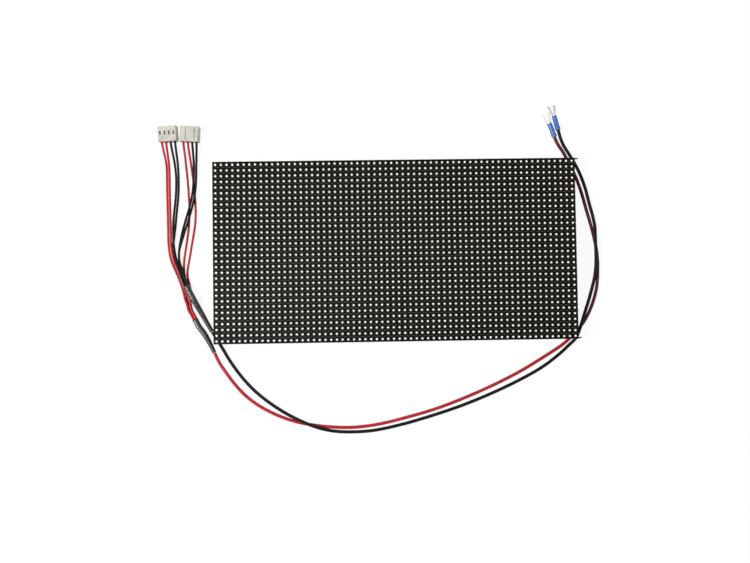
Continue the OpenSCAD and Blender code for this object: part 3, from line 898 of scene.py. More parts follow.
def sweep(name: str, line: np.ndarray, radii: Radii, sides: int) -> bpy.types.Object:
    """Sweeps a closed outline along a line.

    Args:
        name: The piece's name.
        line: The line's points.
        radii: Gives the outline's radii from the share of the line and the angles.
        sides: How many points the outline has.

    Returns:
        The object.
    """
    angles = (np.arange(sides) + 0.5) * 2 * math.pi / sides
    last = len(line) - 1
    rings = []
    for i, at in enumerate(line):
        along = line[min(i + 1, last)] - line[max(i - 1, 0)]
        along /= np.linalg.norm(along)
        across = np.array([along[1], -along[0], 0.0])
        across /= np.linalg.norm(across)
        up = np.cross(across, along)
        r = radii(i / last, angles)
        rings.append(at + np.outer(r * np.cos(angles), across) + np.outer(r * np.sin(angles), up))
    caps = [list(range(sides))[::-1], list(range(last * sides, (last + 1) * sides))]
    return make_mesh(name, np.vstack(rings), tube(len(line), sides) + caps, smooth=True)


# ---------------------------------------------------------------------------------------------
# The module's front


@dataclass
class Module:
    """Sizes that the pieces of the module share. The levels are read from the frame.

    Attributes:
        pitch: Distance between lamps.
        columns: Lamps along the long side.
        rows: Lamps along the short side.
        length: Length of the module.
        width: Width of the module.
        board_back_z: Height of the board's back.
        board_front_z: Height of the board's front.
        lamp_top_z: Height of the lamps' tops.
        crest_z: Height of the louvres' crests.
    """

    pitch: float = 5.0
    columns: int = 64
    rows: int = 32
    length: float = field(init=False)
    width: float = field(init=False)
    board_back_z: float = field(init=False)
    board_front_z: float = field(init=False)
    lamp_top_z: float = field(init=False)
    crest_z: float = field(init=False)

    def __post_init__(self) -> None:
        """Works out the outer sizes and the levels."""
        self.length = self.columns * self.pitch
        self.width = self.rows * self.pitch
        low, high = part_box("circuit_board")
        self.board_back_z = low.z / MM
        self.board_front_z = high.z / MM
        self.lamp_top_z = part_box("dots")[1].z / MM
        self.crest_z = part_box("front_mask_left")[1].z / MM

    def lamp_places(self, side: int, z: float) -> np.ndarray:
        """The middle of each lamp of one half.

        Args:
            side: -1 for the left half, 1 for the right half.
            z: The height of the places.

        Returns:
            One row for each lamp.
        """
        x = (np.arange(self.columns) + 0.5) * self.pitch - self.length / 2
        y = (np.arange(self.rows) + 0.5) * self.pitch - self.width / 2
        grid = np.array(np.meshgrid(x[x * side > 0], y)).reshape(2, -1).T
        return np.hstack([grid, np.full((len(grid), 1), z)])


@dataclass
class Lamps:
    """Small square lamp packages with well rounded corners, each with a round cup in its top.

    Attributes:
        module: The module that they stand in.
        side: Width of a package.
        squareness: Power of the outline: 2 is a circle, more is squarer.
        edge: Width of the rounding along its top.
        cup_r: Radius of the cup.
        cup_depth: Depth of the cup.
        cup_draft: How much narrower the cup is at its bottom.
        swell: How far the middle of the cup's filling stands over its bottom.
        facets: Number of points round a package.
    """

    module: Module
    side: float = 1.66
    squareness: float = 2.5
    edge: float = 0.1
    cup_r: float = 0.66
    cup_depth: float = 0.1
    cup_draft: float = 0.06
    swell: float = 0.05
    facets: int = 16

    def package(self) -> tuple[np.ndarray, np.ndarray]:
        """One package.

        Returns:
            Points and triangles, with the middle of its foot at the origin.
        """
        height = self.module.lamp_top_z - self.module.board_front_z
        turns = (np.arange(self.facets) + 0.5) * 2 * math.pi / self.facets
        circle = np.stack([np.cos(turns), np.sin(turns)], axis=1)
        power = self.squareness
        outline = circle / (np.abs(circle) ** power).sum(axis=1, keepdims=True) ** (1 / power)
        half = self.side / 2
        bottom = height - self.cup_depth
        rings = [
            (outline, half, 0.0),
            (outline, half, height - self.edge),
            (outline, half - self.edge, height),
            (circle, self.cup_r, height),
            (circle, self.cup_r - self.cup_draft, bottom),
        ]
        rows = [np.hstack([ring * r, np.full((self.facets, 1), z)]) for ring, r, z in rings]
        rows.append(np.array([[0.0, 0.0, bottom + self.swell]]))
        hub = len(rings) * self.facets
        last = range(hub - self.facets, hub)
        faces = tube(len(rings), self.facets) + strip(last, [hub] * self.facets)
        return np.vstack(rows), triangulate(faces)

    def build(self, dresser: Dresser) -> list[bpy.types.Object]:
        """Makes all packages, one piece for each half of the board.

        Args:
            dresser: Gives the material.

        Returns:
            The pieces.
        """
        finish = LampWhite(self.module.pitch, self.cup_r)
        pieces = []
        for side, name in ((-1, "left"), (1, "right")):
            places = self.module.lamp_places(side, self.module.board_front_z)
            piece = make_mesh(f"lamps_{name}", *copies(*self.package(), places))
            pieces.append(dresser.settle(piece, finish, slot="dots", node="dots"))
        return pieces


@dataclass
class Prong:
    """A slim prong that stands out at a corner of the mask.

    Attributes:
        long: How far it stands out.
        wide: Width of its foot.
        tip: Width of its tip.
        drift: How far its tip lies to +Y of its foot.
        thick: Thickness of its foot.
        shoulder: Extra half width where it starts to narrow to its tip.
        draft: Share of its width that its upper side has.
    """

    long: float = 3.5
    wide: float = 1.4
    tip: float = 0.7
    drift: float = 0.4
    thick: float = 1.2
    shoulder: float = 0.12
    draft: float = 0.8

    def form(self, x: float, y: float, z: float) -> tuple[list[Point], list[Face]]:
        """The prong at one place.

        Args:
            x: Where its foot is.
            y: Its middle line.
            z: Its lower side.

        Returns:
            Points and quads.
        """
        sections = (
            (0.0, 0.0, self.wide / 2, self.thick),
            (0.75 * self.long, 0.8 * self.drift, self.tip / 2 + self.shoulder, 0.95 * self.thick),
            (self.long, self.drift, self.tip / 2, 0.7 * self.thick),
        )
        points: list[Point] = []
        for out, aside, half, top in sections:
            middle = y + aside
            points += [
                (x + out, middle - half, z),
                (x + out, middle + half, z),
                (x + out, middle + half * self.draft, z + top),
                (x + out, middle - half * self.draft, z + top),
            ]
        return points, tube(len(sections), 4) + [(8, 9, 10, 11)]


@dataclass
class FrontMask:
    """The louvred mask in two mouldings, each ridge scalloped round the windows.

    Attributes:
        module: The module that it covers.
        window_r: Radius of a window.
        chamfer: Width of the chamfer round it.
        face_z: Height of the face between the louvres.
        flare_r: Radius of the flare that cuts the louvres above and below a lamp.
        foot: Half width of a louvre where it leaves the face.
        crest: Half width of its flat crest.
        flank: Least width of a louvre's flank.
        dip: Share of its height that is left above a lamp.
        dip_flat: Half the length over which a crest is dipped.
        dip_slope: Length over which it rises again.
        seam: Gap between the two mouldings.
        rim: Width of the rim that closes a moulding below.
        stations: Number of points along a louvre at one lamp.
        side_steps: Number of steps along the face between two louvres.
        prong: The prong at each right-hand corner.
    """

    module: Module
    window_r: float = 1.7
    chamfer: float = 0.14
    face_z: float = 16.4
    flare_r: float = 2.2
    foot: float = 0.55
    crest: float = 0.25
    flank: float = 0.08
    dip: float = 0.5
    dip_flat: float = 0.3
    dip_slope: float = 1.4
    seam: float = 0.1
    rim: float = 0.75
    stations: int = 7
    side_steps: int = 4
    prong: Prong = field(default_factory=Prong)

    def lift(self, x: float) -> float:
        """Height of a louvre's crest over the face, at x from a lamp's middle."""
        share = smooth_step((abs(x) - self.dip_flat) / self.dip_slope)
        return (self.module.crest_z - self.face_z) * (self.dip + (1 - self.dip) * share)

    def foot_y(self, x: float) -> float:
        """How far from the lamp's row a louvre starts, at x from a lamp's middle."""
        flare = math.sqrt(max(0.0, self.flare_r**2 - x * x))
        return max(self.module.pitch / 2 - self.foot, flare)

    def cell(self) -> tuple[np.ndarray, np.ndarray]:
        """The mask round one lamp.

        Returns:
            Points and triangles, with the lamp at the origin.
        """
        half = self.module.pitch / 2
        points: list[Point] = []
        faces: list[Face] = []

        def put(row: Sequence[Point]) -> list[int]:
            """Adds points and gives their numbers."""
            points.extend(row)
            return list(range(len(points) - len(row), len(points)))

        rows: dict[int, list[list[int]]] = {-1: [], 1: []}
        for side in rows:
            for level in range(3):
                row = []
                for x in np.linspace(-half, half, self.stations):
                    foot = self.foot_y(x)
                    edge = max(half - self.crest, foot + self.flank)
                    y = (foot, edge, half)[level]
                    row.append((x, side * y, self.face_z + (self.lift(x) if level else 0.0)))
                rows[side].append(put(row))
            for inner, outer in zip(rows[side], rows[side][1:]):
                faces += strip(inner, outer, closed=False)
        shares = [2 * k / self.side_steps - 1 for k in range(1, self.side_steps)]
        left, right = (
            put([(side * half, self.foot_y(half) * share, self.face_z) for share in shares])
            for side in (-1, 1)
        )
        rings = [rows[-1][0] + right + rows[1][0][::-1] + left[::-1]]
        turns = [math.atan2(points[i][1], points[i][0]) for i in rings[0]]
        for radius, z in (
            (self.window_r + self.chamfer, self.face_z),
            (self.window_r, self.face_z - self.chamfer),
            (self.window_r, self.module.board_front_z),
        ):
            rings.append(put([(radius * math.cos(t), radius * math.sin(t), z) for t in turns]))
        for outer, inner in zip(rings, rings[1:]):
            faces += strip(outer, inner)
        turned = [face if self.faces_out(points, face) else face[::-1] for face in faces]
        return np.array(points), triangulate(turned)

    @staticmethod
    def faces_out(points: Sequence[Point], face: Face) -> bool:
        """Whether a face of the cell looks up, or to the lamp where it is upright.

        Args:
            points: The cell's points.
            face: Numbers of its four points.

        Returns:
            True where it needs no turning.
        """
        a, b, c, d = (np.array(points[i]) for i in face)
        normal = np.cross(c - a, d - b)
        middle = (a + b + c + d) / 4
        inward = np.array([-middle[0], -middle[1], 0.0])
        upright = abs(normal[2]) < 1e-6 * np.linalg.norm(normal) + 1e-12
        return bool(normal @ inward > 0) if upright else bool(normal[2] > 0)

    def skirt(self, heap: Heap, low: float, high: float) -> None:
        """Adds the outer wall of one moulding and a rim that closes it below.

        Args:
            heap: Where it goes.
            low: The moulding's lowest X.
            high: Its highest X.
        """
        wide = self.module.width / 2
        back = self.module.board_front_z
        points: list[Point] = []
        for inset, z in ((0.0, self.face_z), (0.0, back), (self.rim, back)):
            left, right, near, far = low + inset, high - inset, -wide + inset, wide - inset
            points += [(left, near, z), (right, near, z), (right, far, z), (left, far, z)]
        heap.add(points, [quad[::-1] for quad in tube(3, 4)])

    def ends(self, heap: Heap, x: float, facing: int) -> None:
        """Adds small faces that close the louvres along one short side.

        Args:
            heap: Where they go.
            x: The side's X.
            facing: 1 where the side looks along +X, -1 where it looks along -X.
        """
        top = self.module.crest_z
        for row in range(self.module.rows + 1):
            y = row * self.module.pitch - self.module.width / 2
            low = 0.0 if row == 0 else -1.0
            high = 0.0 if row == self.module.rows else 1.0
            corners = [
                (x, y + low * self.foot, self.face_z),
                (x, y + high * self.foot, self.face_z),
                (x, y + high * self.crest, top),
                (x, y + low * self.crest, top),
            ]
            heap.add(corners, [(0, 1, 2, 3)[::facing]])

    def long_edges(self, heap: Heap, low: float, high: float) -> None:
        """Adds upright faces under the half louvres along both long sides.

        Args:
            heap: Where they go.
            low: Lowest X of the moulding.
            high: Highest X of the moulding.
        """
        half = self.module.pitch / 2
        cells = int(round((high - low) / self.module.pitch))
        stations = np.linspace(-half, half, self.stations)
        for side in (-1, 1):
            y = side * self.module.width / 2
            crest = []
            for i in range(cells):
                middle = low + (i + 0.5) * (high - low) / cells
                for x in stations if i == cells - 1 else stations[:-1]:
                    at = min(max(middle + x, low), high)
                    crest.append((at, y, self.face_z + self.lift(x)))
            foot = [(x, y, self.face_z) for x, y, _ in crest]
            count = len(crest)
            quads = strip(range(count), range(count, 2 * count), closed=False)
            heap.add(foot + crest, [quad[::-side] for quad in quads])

    def build(self, dresser: Dresser) -> list[bpy.types.Object]:
        """Makes both mouldings.

        Args:
            dresser: Gives the material.

        Returns:
            The two pieces.
        """
        cell_points, cell_faces = self.cell()
        finish = MaskBlack(self.face_z, self.module.crest_z)
        pieces = []
        for side, name in ((-1, "left"), (1, "right")):
            places = self.module.lamp_places(side, 0.0)
            points, faces = copies(cell_points, cell_faces, places)
            seam = self.seam / 2
            points[:, 0] = side * np.maximum(side * points[:, 0], seam)
            low, high = sorted((side * seam, side * self.module.length / 2))
            heap = Heap()
            heap.add(points, faces)
            self.skirt(heap, low, high)
            self.ends(heap, low, -1)
            self.ends(heap, high, 1)
            self.long_edges(heap, low, high)
            if side > 0:
                for corner in (-1, 1):
                    y = corner * (self.module.width / 2 - self.prong.wide / 2)
                    heap.add(*self.prong.form(high, y, self.module.board_front_z))
            piece = heap.piece(f"louvred_mask_{name}")
            pieces.append(dresser.settle(piece, finish, slot="mask", node=f"front_mask_{name}"))
        return pieces


# ---------------------------------------------------------------------------------------------
# The power lead


class Strand(Enum):
    """The wires of the lead: each has its finish and its route, as in the construction."""

    LEFT_RED_1 = "wire_left_red_1"
    LEFT_RED_2 = "wire_left_red_2"
    LEFT_BLACK_1 = "wire_left_black_1"
    LEFT_BLACK_2 = "wire_left_black_2"
    RIGHT_RED_1 = "wire_right_red_1"
    RIGHT_RED_2 = "wire_right_red_2"
    RIGHT_BLACK_1 = "wire_right_black_1"
    RIGHT_BLACK_2 = "wire_right_black_2"
    LEAD_RED = "lead_red"
    LEAD_BLACK = "lead_black"

    @property
    def colour(self) -> str:
        """The wire's colour, as it stands in names."""
        return "red" if "red" in self.value else "black"

    @property
    def long(self) -> bool:
        """Whether this is one of the two long wires."""
        return self.value.startswith("lead")


ROUTES: dict[Strand, list[Point]] = {
    Strand.LEFT_RED_1: [
        (-207.5, 104.3, 4.7), (-206.7, 98, 4.6), (-205.7, 92, 3.8), (-204.7, 86, 2.6),
        (-204, 80, 1.5), (-203.8, 72, 1.1), (-203.7, 60, 1.1), (-203.5, 48, 1.1),
        (-203.3, 36, 1.1), (-203.1, 24, 1.1), (-202.9, 12, 1.1), (-202, 2, 1.1),
        (-199.9, -7, 1.1), (-196.1, -16, 1.1), (-192.5, -25, 1.2), (-189.5, -34, 1.8),
        (-188, -40, 3), (-186.4, -44, 3.3), (-184.8, -50.2, 3.5), (-182.5, -54, 3.8),
        (-180.2, -58.4, 3.9),
    ],
    Strand.LEFT_RED_2: [
        (-203.5, 104.5, 4.7), (-203.1, 98, 4.6), (-202.6, 92, 3.8), (-202.1, 86, 2.6),
        (-201.7, 80, 1.5), (-201.5, 72, 1.1), (-201.4, 60, 1.1), (-201.2, 48, 1.1),
        (-201, 36, 1.1), (-200.8, 24, 1.1), (-200.6, 12, 1.1), (-199.6, 2, 1.1),
        (-197.5, -7, 1.1), (-193.7, -16, 1.1), (-190.1, -25, 1.1), (-187.5, -34, 1.1),
        (-185.9, -43, 1.1), (-184.7, -50.2, 1.2), (-182.5, -54, 1.6), (-180.2, -58.4, 1.7),
    ],
    Strand.LEFT_BLACK_1: [
        (-199.5, 104.7, 4.7), (-198.9, 98, 4.6), (-198, 92, 3.8), (-197.1, 86, 2.6),
        (-196.3, 79, 1.5), (-195.6, 70, 1.1), (-195.6, 60, 1.1), (-196.2, 50, 1.1),
        (-197.2, 41, 1.1), (-198.1, 32, 1.1), (-198.5, 24, 1.1), (-198.3, 12, 1.1),
        (-197.2, 2, 1.1), (-195.1, -7, 1.2), (-192, -15, 2.6), (-189, -23.8, 3.6),
        (-187, -28.7, 3.9),
    ],
    Strand.LEFT_BLACK_2: [
        (-195.6, 104.9, 4.7), (-195.1, 98, 4.6), (-194.6, 92, 3.8), (-194.1, 86, 2.6),
        (-193.7, 79, 1.5), (-193.4, 70, 1.1), (-193.4, 60, 1.1), (-193.9, 50, 1.1),
        (-194.9, 41, 1.1), (-195.8, 32, 1.1), (-196.4, 24, 1.7), (-197.2, 15, 3),
        (-197.9, 7, 3.3), (-197, 0, 3.3), (-195, -7, 3.4), (-192.3, -15.2, 4.8),
        (-189.1, -23.9, 5.8), (-187.1, -28.5, 6.1),
    ],
    Strand.RIGHT_RED_1: [
        (-188.3, 104.7, 4), (-188, 98, 3.8), (-187.5, 92, 3), (-187, 86, 2), (-186.4, 78, 1.2),
        (-185.6, 70, 1.1), (-184.8, 60, 1.1), (-184.2, 50, 1.1), (-183.9, 42, 1.1),
        (-184, 34, 1.1), (-184.6, 24, 1.1), (-185.9, 14, 1.1), (-187.5, 4, 1.1),
        (-188.9, -6, 1.1), (-189, -15, 1.1), (-187.7, -23, 1.1), (-186.4, -29, 1.1),
        (-184.9, -35.5, 1.1), (-183.6, -43, 1.1), (-182.2, -49.8, 1.2), (-180.5, -53, 1.6),
        (-178.3, -57.4, 1.7),
    ],
    Strand.RIGHT_RED_2: [
        (-184.4, 104.5, 4), (-184, 98, 3.8), (-183.4, 92, 3), (-182.7, 86, 2),
        (-181.7, 78, 1.2), (-180.7, 70, 1.1), (-179.8, 62, 1.1), (-179.1, 54, 1.1),
        (-178.5, 45, 1.1), (-178.3, 36, 1.1), (-179, 26, 1.1), (-180.6, 16, 1.1),
        (-182.4, 6, 1.1), (-184.1, -4, 1.1), (-185.8, -13, 1.1), (-185.9, -20, 1.1),
        (-184, -28, 1.1), (-182.7, -34.5, 1.7), (-183, -39.5, 2.9), (-183.3, -44, 3.3),
        (-182.2, -49.8, 3.5), (-180.5, -53, 3.8), (-178.3, -57.4, 3.9),
    ],
    Strand.RIGHT_BLACK_1: [
        (-180.4, 104.3, 4), (-180.1, 98, 4), (-179.7, 92, 3.8), (-179.3, 86, 3.5),
        (-179.1, 79, 3.4), (-179.3, 70, 3.3), (-179.9, 60, 3.3), (-181.4, 50, 3.3),
        (-183.9, 40, 3.3), (-187, 30, 3.2), (-190, 20, 2.4), (-192.4, 10, 1.4),
        (-193.4, 2, 1.2), (-193, -6, 1.3), (-189.9, -14.5, 3.1), (-186.7, -23.4, 3.8),
        (-185, -27.9, 3.9),
    ],
    Strand.RIGHT_BLACK_2: [
        (-176.4, 104.1, 4), (-176.4, 98, 4), (-176.5, 92, 3.8), (-176.7, 86, 3.5),
        (-176.9, 79, 3.4), (-177.1, 70, 3.3), (-177.7, 60, 3.3), (-179.1, 50, 3.3),
        (-181.5, 40, 3.3), (-184.5, 30, 3.4), (-187.7, 20, 3.4), (-190.9, 10, 3.3),
        (-192.8, 2, 3.3), (-192.7, -6, 3.5), (-190.2, -14.4, 5.3), (-186.7, -23.3, 6),
        (-185.1, -27.7, 6.1),
    ],
    Strand.LEAD_RED: [
        (-162.4, -88.2, 1.8), (-158.2, -97, 1.6), (-152.2, -106.2, 1.6), (-144.6, -116.5, 1.6),
        (-134.6, -127.3, 1.6), (-122, -136.8, 1.6), (-107, -144.7, 1.6), (-92, -150.3, 1.6),
        (-76, -153.8, 1.6), (-58, -156, 1.6), (-38, -156.5, 1.6), (-16, -154, 1.6),
        (8, -148.6, 1.6), (34, -141.5, 1.6), (60, -132.2, 1.6), (86, -121.3, 1.6),
        (110, -109.7, 1.6), (132, -97, 1.6), (148, -87, 1.6), (157, -79.7, 1.6),
        (164.5, -72, 1.6), (171.2, -63, 1.6), (177.5, -50, 1.6), (181.8, -35, 1.6),
        (183.2, -20, 1.6), (183, -5, 1.6), (181, 8, 1.6), (177.8, 22, 1.6), (174, 36, 1.6),
        (170.4, 50, 1.6), (165.4, 65, 1.6), (159.5, 77.5, 1.6), (154.6, 87.5, 1.7),
        (150, 94.3, 2.2), (147.8, 98.6, 2.4), (145.8, 104.2, 2.4),
    ],
    Strand.LEAD_BLACK: [
        (-164.1, -69.5, 1.8), (-161, -75.2, 1.6), (-156, -83.2, 1.6), (-148.6, -95.8, 1.6),
        (-138.8, -109.6, 1.6), (-126.8, -122.8, 1.6), (-112.5, -134.5, 1.7), (-97, -144.3, 2.7),
        (-80, -152.3, 4.9), (-64, -157.9, 3.7), (-46, -160.5, 1.7), (-22, -159.7, 1.6),
        (4, -154.7, 1.6), (30, -147.7, 1.6), (56, -139.5, 1.6), (82, -129.6, 1.6),
        (108, -118, 1.6), (130, -106.3, 1.6), (145.8, -95, 1.6), (155.3, -86.4, 2.2),
        (161, -80.4, 4), (164.1, -73.5, 4.8), (167, -65.5, 4.5), (170.2, -57.5, 2.7),
        (173.8, -48, 1.7), (177.6, -35.5, 1.7), (179.9, -24, 3.5), (180.8, -12, 4.8),
        (180.9, 0, 4.8), (180.7, 11, 4.8), (180.8, 20, 3.9), (179.7, 30, 1.9), (177, 41, 1.6),
        (173.4, 56, 1.6), (167.8, 71.3, 1.6), (160.6, 84.7, 1.6), (155, 94, 1.7),
        (152, 100.9, 2.2), (150.9, 104.9, 2.4), (149.3, 110.9, 2.4),
    ],
}
SLEEVE_ROUTES: dict[str, list[Point]] = {
    "sleeve_red": [
        (-179.2, -58, 2.8), (-175.5, -65, 2.8), (-171.2, -71, 2.6), (-168, -76.5, 2.4),
        (-165, -82.5, 2.2), (-162.5, -88, 2),
    ],
    "sleeve_black": [
        (-186, -28.2, 5), (-182.4, -35, 5.8), (-180, -39.5, 6), (-178, -43.5, 5.4),
        (-174.6, -50, 4.2), (-170.4, -58, 3), (-167.3, -63.8, 2.5), (-164.3, -69.3, 2),
    ],
}


@dataclass
class PowerLead:
    """Eight thin wires, two sleeves, two long wires, two plugs and two fork terminals.

    Attributes:
        thin_d: Diameter of a thin wire.
        main_d: Diameter of a long wire.
        sleeve_d: Diameter of a sleeve round four wires.
        sleeve_wall: How far a sleeve stands round the one long wire.
        taper: Shares of a sleeve's length where it starts to narrow, and over which it does.
        lobe: Share of its radius by which it sinks in between four wires.
        ripple: Share of its radius by which it ripples.
        ripple_turns: How far the ripple's angle goes over its length.
        steps: Pieces that each stretch of a wire's route is cut into.
        sleeve_steps: The same for a sleeve.
        sleeve_sides: Number of points round a sleeve.
    """

    thin_d: float = 2.1
    main_d: float = 3.0
    sleeve_d: float = 5.6
    sleeve_wall: float = 0.4
    taper: tuple[float, float] = (0.35, 0.6)
    lobe: float = 0.09
    ripple: float = 0.012
    ripple_turns: float = 70.0
    steps: int = 6
    sleeve_steps: int = 8
    sleeve_sides: int = 24

    def wire(self, strand: Strand, dresser: Dresser) -> bpy.types.Object:
        """Makes one wire as a curve.

        Args:
            strand: Which wire.
            dresser: Gives the material.

        Returns:
            The curve.
        """
        diameter = self.main_d if strand.long else self.thin_d
        line = smooth_route(ROUTES[strand], self.steps)
        curve = bpy.data.curves.new(f"{strand.value}_skin", "CURVE")
        curve.dimensions = "3D"
        curve.bevel_depth = diameter / 2 * MM
        curve.bevel_resolution = 4
        curve.use_fill_caps = True
        spline = curve.splines.new("POLY")
        spline.points.add(len(line) - 1)
        for point, at in zip(spline.points, line):
            point.co = (*(at * MM), 1.0)
        spline.use_smooth = True
        piece = bpy.data.objects.new(f"{strand.value}_skin", curve)
        bpy.context.scene.collection.objects.link(piece)
        red = Finish.RED_LONG if strand.long else Finish.RED
        finish = red if strand.colour == "red" else Finish.BLACK
        return dresser.settle(piece, finish, slot=f"wire_{strand.colour}", node=strand.value)

    def sleeve(self, colour: str, dresser: Dresser) -> bpy.types.Object:
        """Makes one shrunk sleeve, lobed where it holds four wires and round where it holds one.

        Args:
            colour: Colour of the wires in it, as in its name.
            dresser: Gives the material.

        Returns:
            The mesh.
        """
        name = f"sleeve_{colour}"
        wide = self.sleeve_d / 2
        slim = self.main_d / 2 + self.sleeve_wall

        def radii(share: float, angles: np.ndarray) -> np.ndarray:
            """The outline at one place.

            Args:
                share: The share of the sleeve's length.
                angles: The angles of the outline's points.

            Returns:
                A radius for each angle.
            """
            narrow = smooth_step((share - self.taper[0]) / self.taper[1])
            valleys = (np.cos(4 * (angles - math.pi / 4)) - 1) / 2
            ripple = self.ripple * math.sin(share * self.ripple_turns)
            relief = (1 - narrow) * (self.lobe * valleys + ripple)
            return (wide + (slim - wide) * narrow) * (1 + relief)

        line = smooth_route(SLEEVE_ROUTES[name], self.sleeve_steps)
        piece = sweep(f"{name}_skin", line, radii, self.sleeve_sides)
        return dresser.settle(piece, Finish.SLEEVE, slot="sleeve", node=name)

    def declare(self, strand: Strand, sleeve: bpy.types.Object) -> None:
        """Works out a thin wire's side and any wire's diameter, and keeps neither.

        Args:
            strand: Which wire.
            sleeve: Not used.
        """
        if strand.long:
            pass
        else:
            side = "left" if "left" in strand.value else "right"
        (self.main_d if strand.long else self.thin_d) * MM

    def build(self, dresser: Dresser) -> list[bpy.types.Object]:
        """Args:
            dresser: Gives the materials.

        Returns:
            The pieces.
        """
        wires = {strand: self.wire(strand, dresser) for strand in Strand}
        sleeves = {colour: self.sleeve(colour, dresser) for colour in ("red", "black")}
        for strand, piece in wires.items():
            self.declare(strand, sleeves[strand.colour])
        finishes = {
            "plug_left": Finish.NYLON,
            "plug_right": Finish.NYLON,
            "plug_contacts": Finish.TIN,
            "fork_collars": Finish.COLLAR,
            "fork_terminals": Finish.TIN,
        }
        ends = [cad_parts[name] for name in finishes]
        for node, finish in zip(ends, finishes.values()):
            dresser.dress(node, finish)
        return [*wires.values(), *sleeves.values(), *ends]


# ---------------------------------------------------------------------------------------------
# The module's back


def islands(node: bpy.types.Object) -> list[tuple[np.ndarray, np.ndarray]]:
    """The box of each separate solid in a node.

    Args:
        node: The node's object.

    Returns:
        Its lowest and highest corner in millimetres, one pair for each solid.
    """
    mesh = node.data
    points = np.empty(len(mesh.vertices) * 3)
    mesh.vertices.foreach_get("co", points)
    points = points.reshape(-1, 3) / MM
    _, same = np.unique(points.round(3), axis=0, return_inverse=True)
    group = np.arange(same.max() + 1)
    edges = np.empty(len(mesh.edges) * 2, dtype=np.int32)
    mesh.edges.foreach_get("vertices", edges)
    ends = same.reshape(-1)[edges.reshape(-1, 2)]
    joined = False
    while not joined:
        before = group.copy()
        low = np.minimum(group[ends[:, 0]], group[ends[:, 1]])
        np.minimum.at(group, ends[:, 0], low)
        np.minimum.at(group, ends[:, 1], low)
        group = group[group]
        joined = bool((before == group).all())
    label = group[same.reshape(-1)]
    return [(points[label == k].min(0), points[label == k].max(0)) for k in np.unique(label)]


@dataclass(frozen=True)
class LeadRow:
    """How the leads of one kind of chip stand.

    Attributes:
        node: The chips' node.
        each_side: Number of leads along each side.
        step: Distance between leads.
        wide: Width of a lead.
    """

    node: str
    each_side: int
    step: float
    wide: float


class Chips(Enum):
    """The kinds of chip on the board's back."""

    DRIVERS = LeadRow("driver_chips", 12, 0.635, 0.28)
    ROWS = LeadRow("row_chips", 8, 1.27, 0.42)
    BUFFERS = LeadRow("buffer_chips", 10, 1.27, 0.42)


@dataclass
class ChipLeads:
    """The tinned gull-wing leads along both sides of each chip.

    Attributes:
        module: The module that the chips belong to.
        reach: How far a lead stands out from the chip.
        thick: Thickness of a lead.
        lap: How far it reaches into the chip.
    """

    module: Module
    reach: float = 1.0
    thick: float = 0.16
    lap: float = 0.15

    def lead(self, half: float, body_h: float, wide: float) -> tuple[np.ndarray, np.ndarray]:
        """One lead that leaves a chip along +X.

        Args:
            half: Half the width of the chip.
            body_h: Height of the chip.
            wide: Width of the lead.

        Returns:
            Points and triangles, with the board's face at zero and the chip below it.
        """
        middle = -body_h / 2
        foot = -self.thick / 2
        bends = [
            (half - self.lap, middle, 0.0),
            (half + 0.22 * self.reach, middle, 0.4),
            (half + 0.42 * self.reach, middle / 2, 1.2),
            (half + 0.58 * self.reach, foot, 0.4),
            (half + self.reach, foot, 0.0),
        ]
        points: list[Point] = []
        for x, z, turn in bends:
            out = (self.thick / 2 * math.sin(turn), self.thick / 2 * math.cos(turn))
            for y, side in ((-wide / 2, -1), (wide / 2, -1), (wide / 2, 1), (-wide / 2, 1)):
                points.append((x - side * out[0], y, z + side * out[1]))
        last = 4 * (len(bends) - 1)
        root, tip = (3, 2, 1, 0), (last, last + 1, last + 2, last + 3)
        return np.array(points), triangulate([root, *tube(len(bends), 4), tip])

    def build(self, dresser: Dresser) -> list[bpy.types.Object]:
        """Makes the leads of every chip as one piece.

        Args:
            dresser: Gives the material.

        Returns:
            The piece.
        """
        heap = Heap()
        for kind in Chips:
            row = kind.value
            for low, high in islands(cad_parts[row.node]):
                size = high - low
                middle = (low + high) / 2
                points, faces = self.lead(min(size[0], size[1]) / 2, size[2], row.wide)
                level = points[:, 2] + self.module.board_back_z
                for turned in (1, -1):
                    for k in range(row.each_side):
                        along = (k - (row.each_side - 1) / 2) * row.step
                        x, y = turned * points[:, 0], turned * points[:, 1] + along
                        if size[0] > size[1]:
                            x, y = -y, x
                        placed = np.stack([x + middle[0], y + middle[1], level], axis=1)
                        heap.add(placed, faces.tolist())
        return [dresser.settle(heap.piece("chip_leads"), Finish.TIN)]


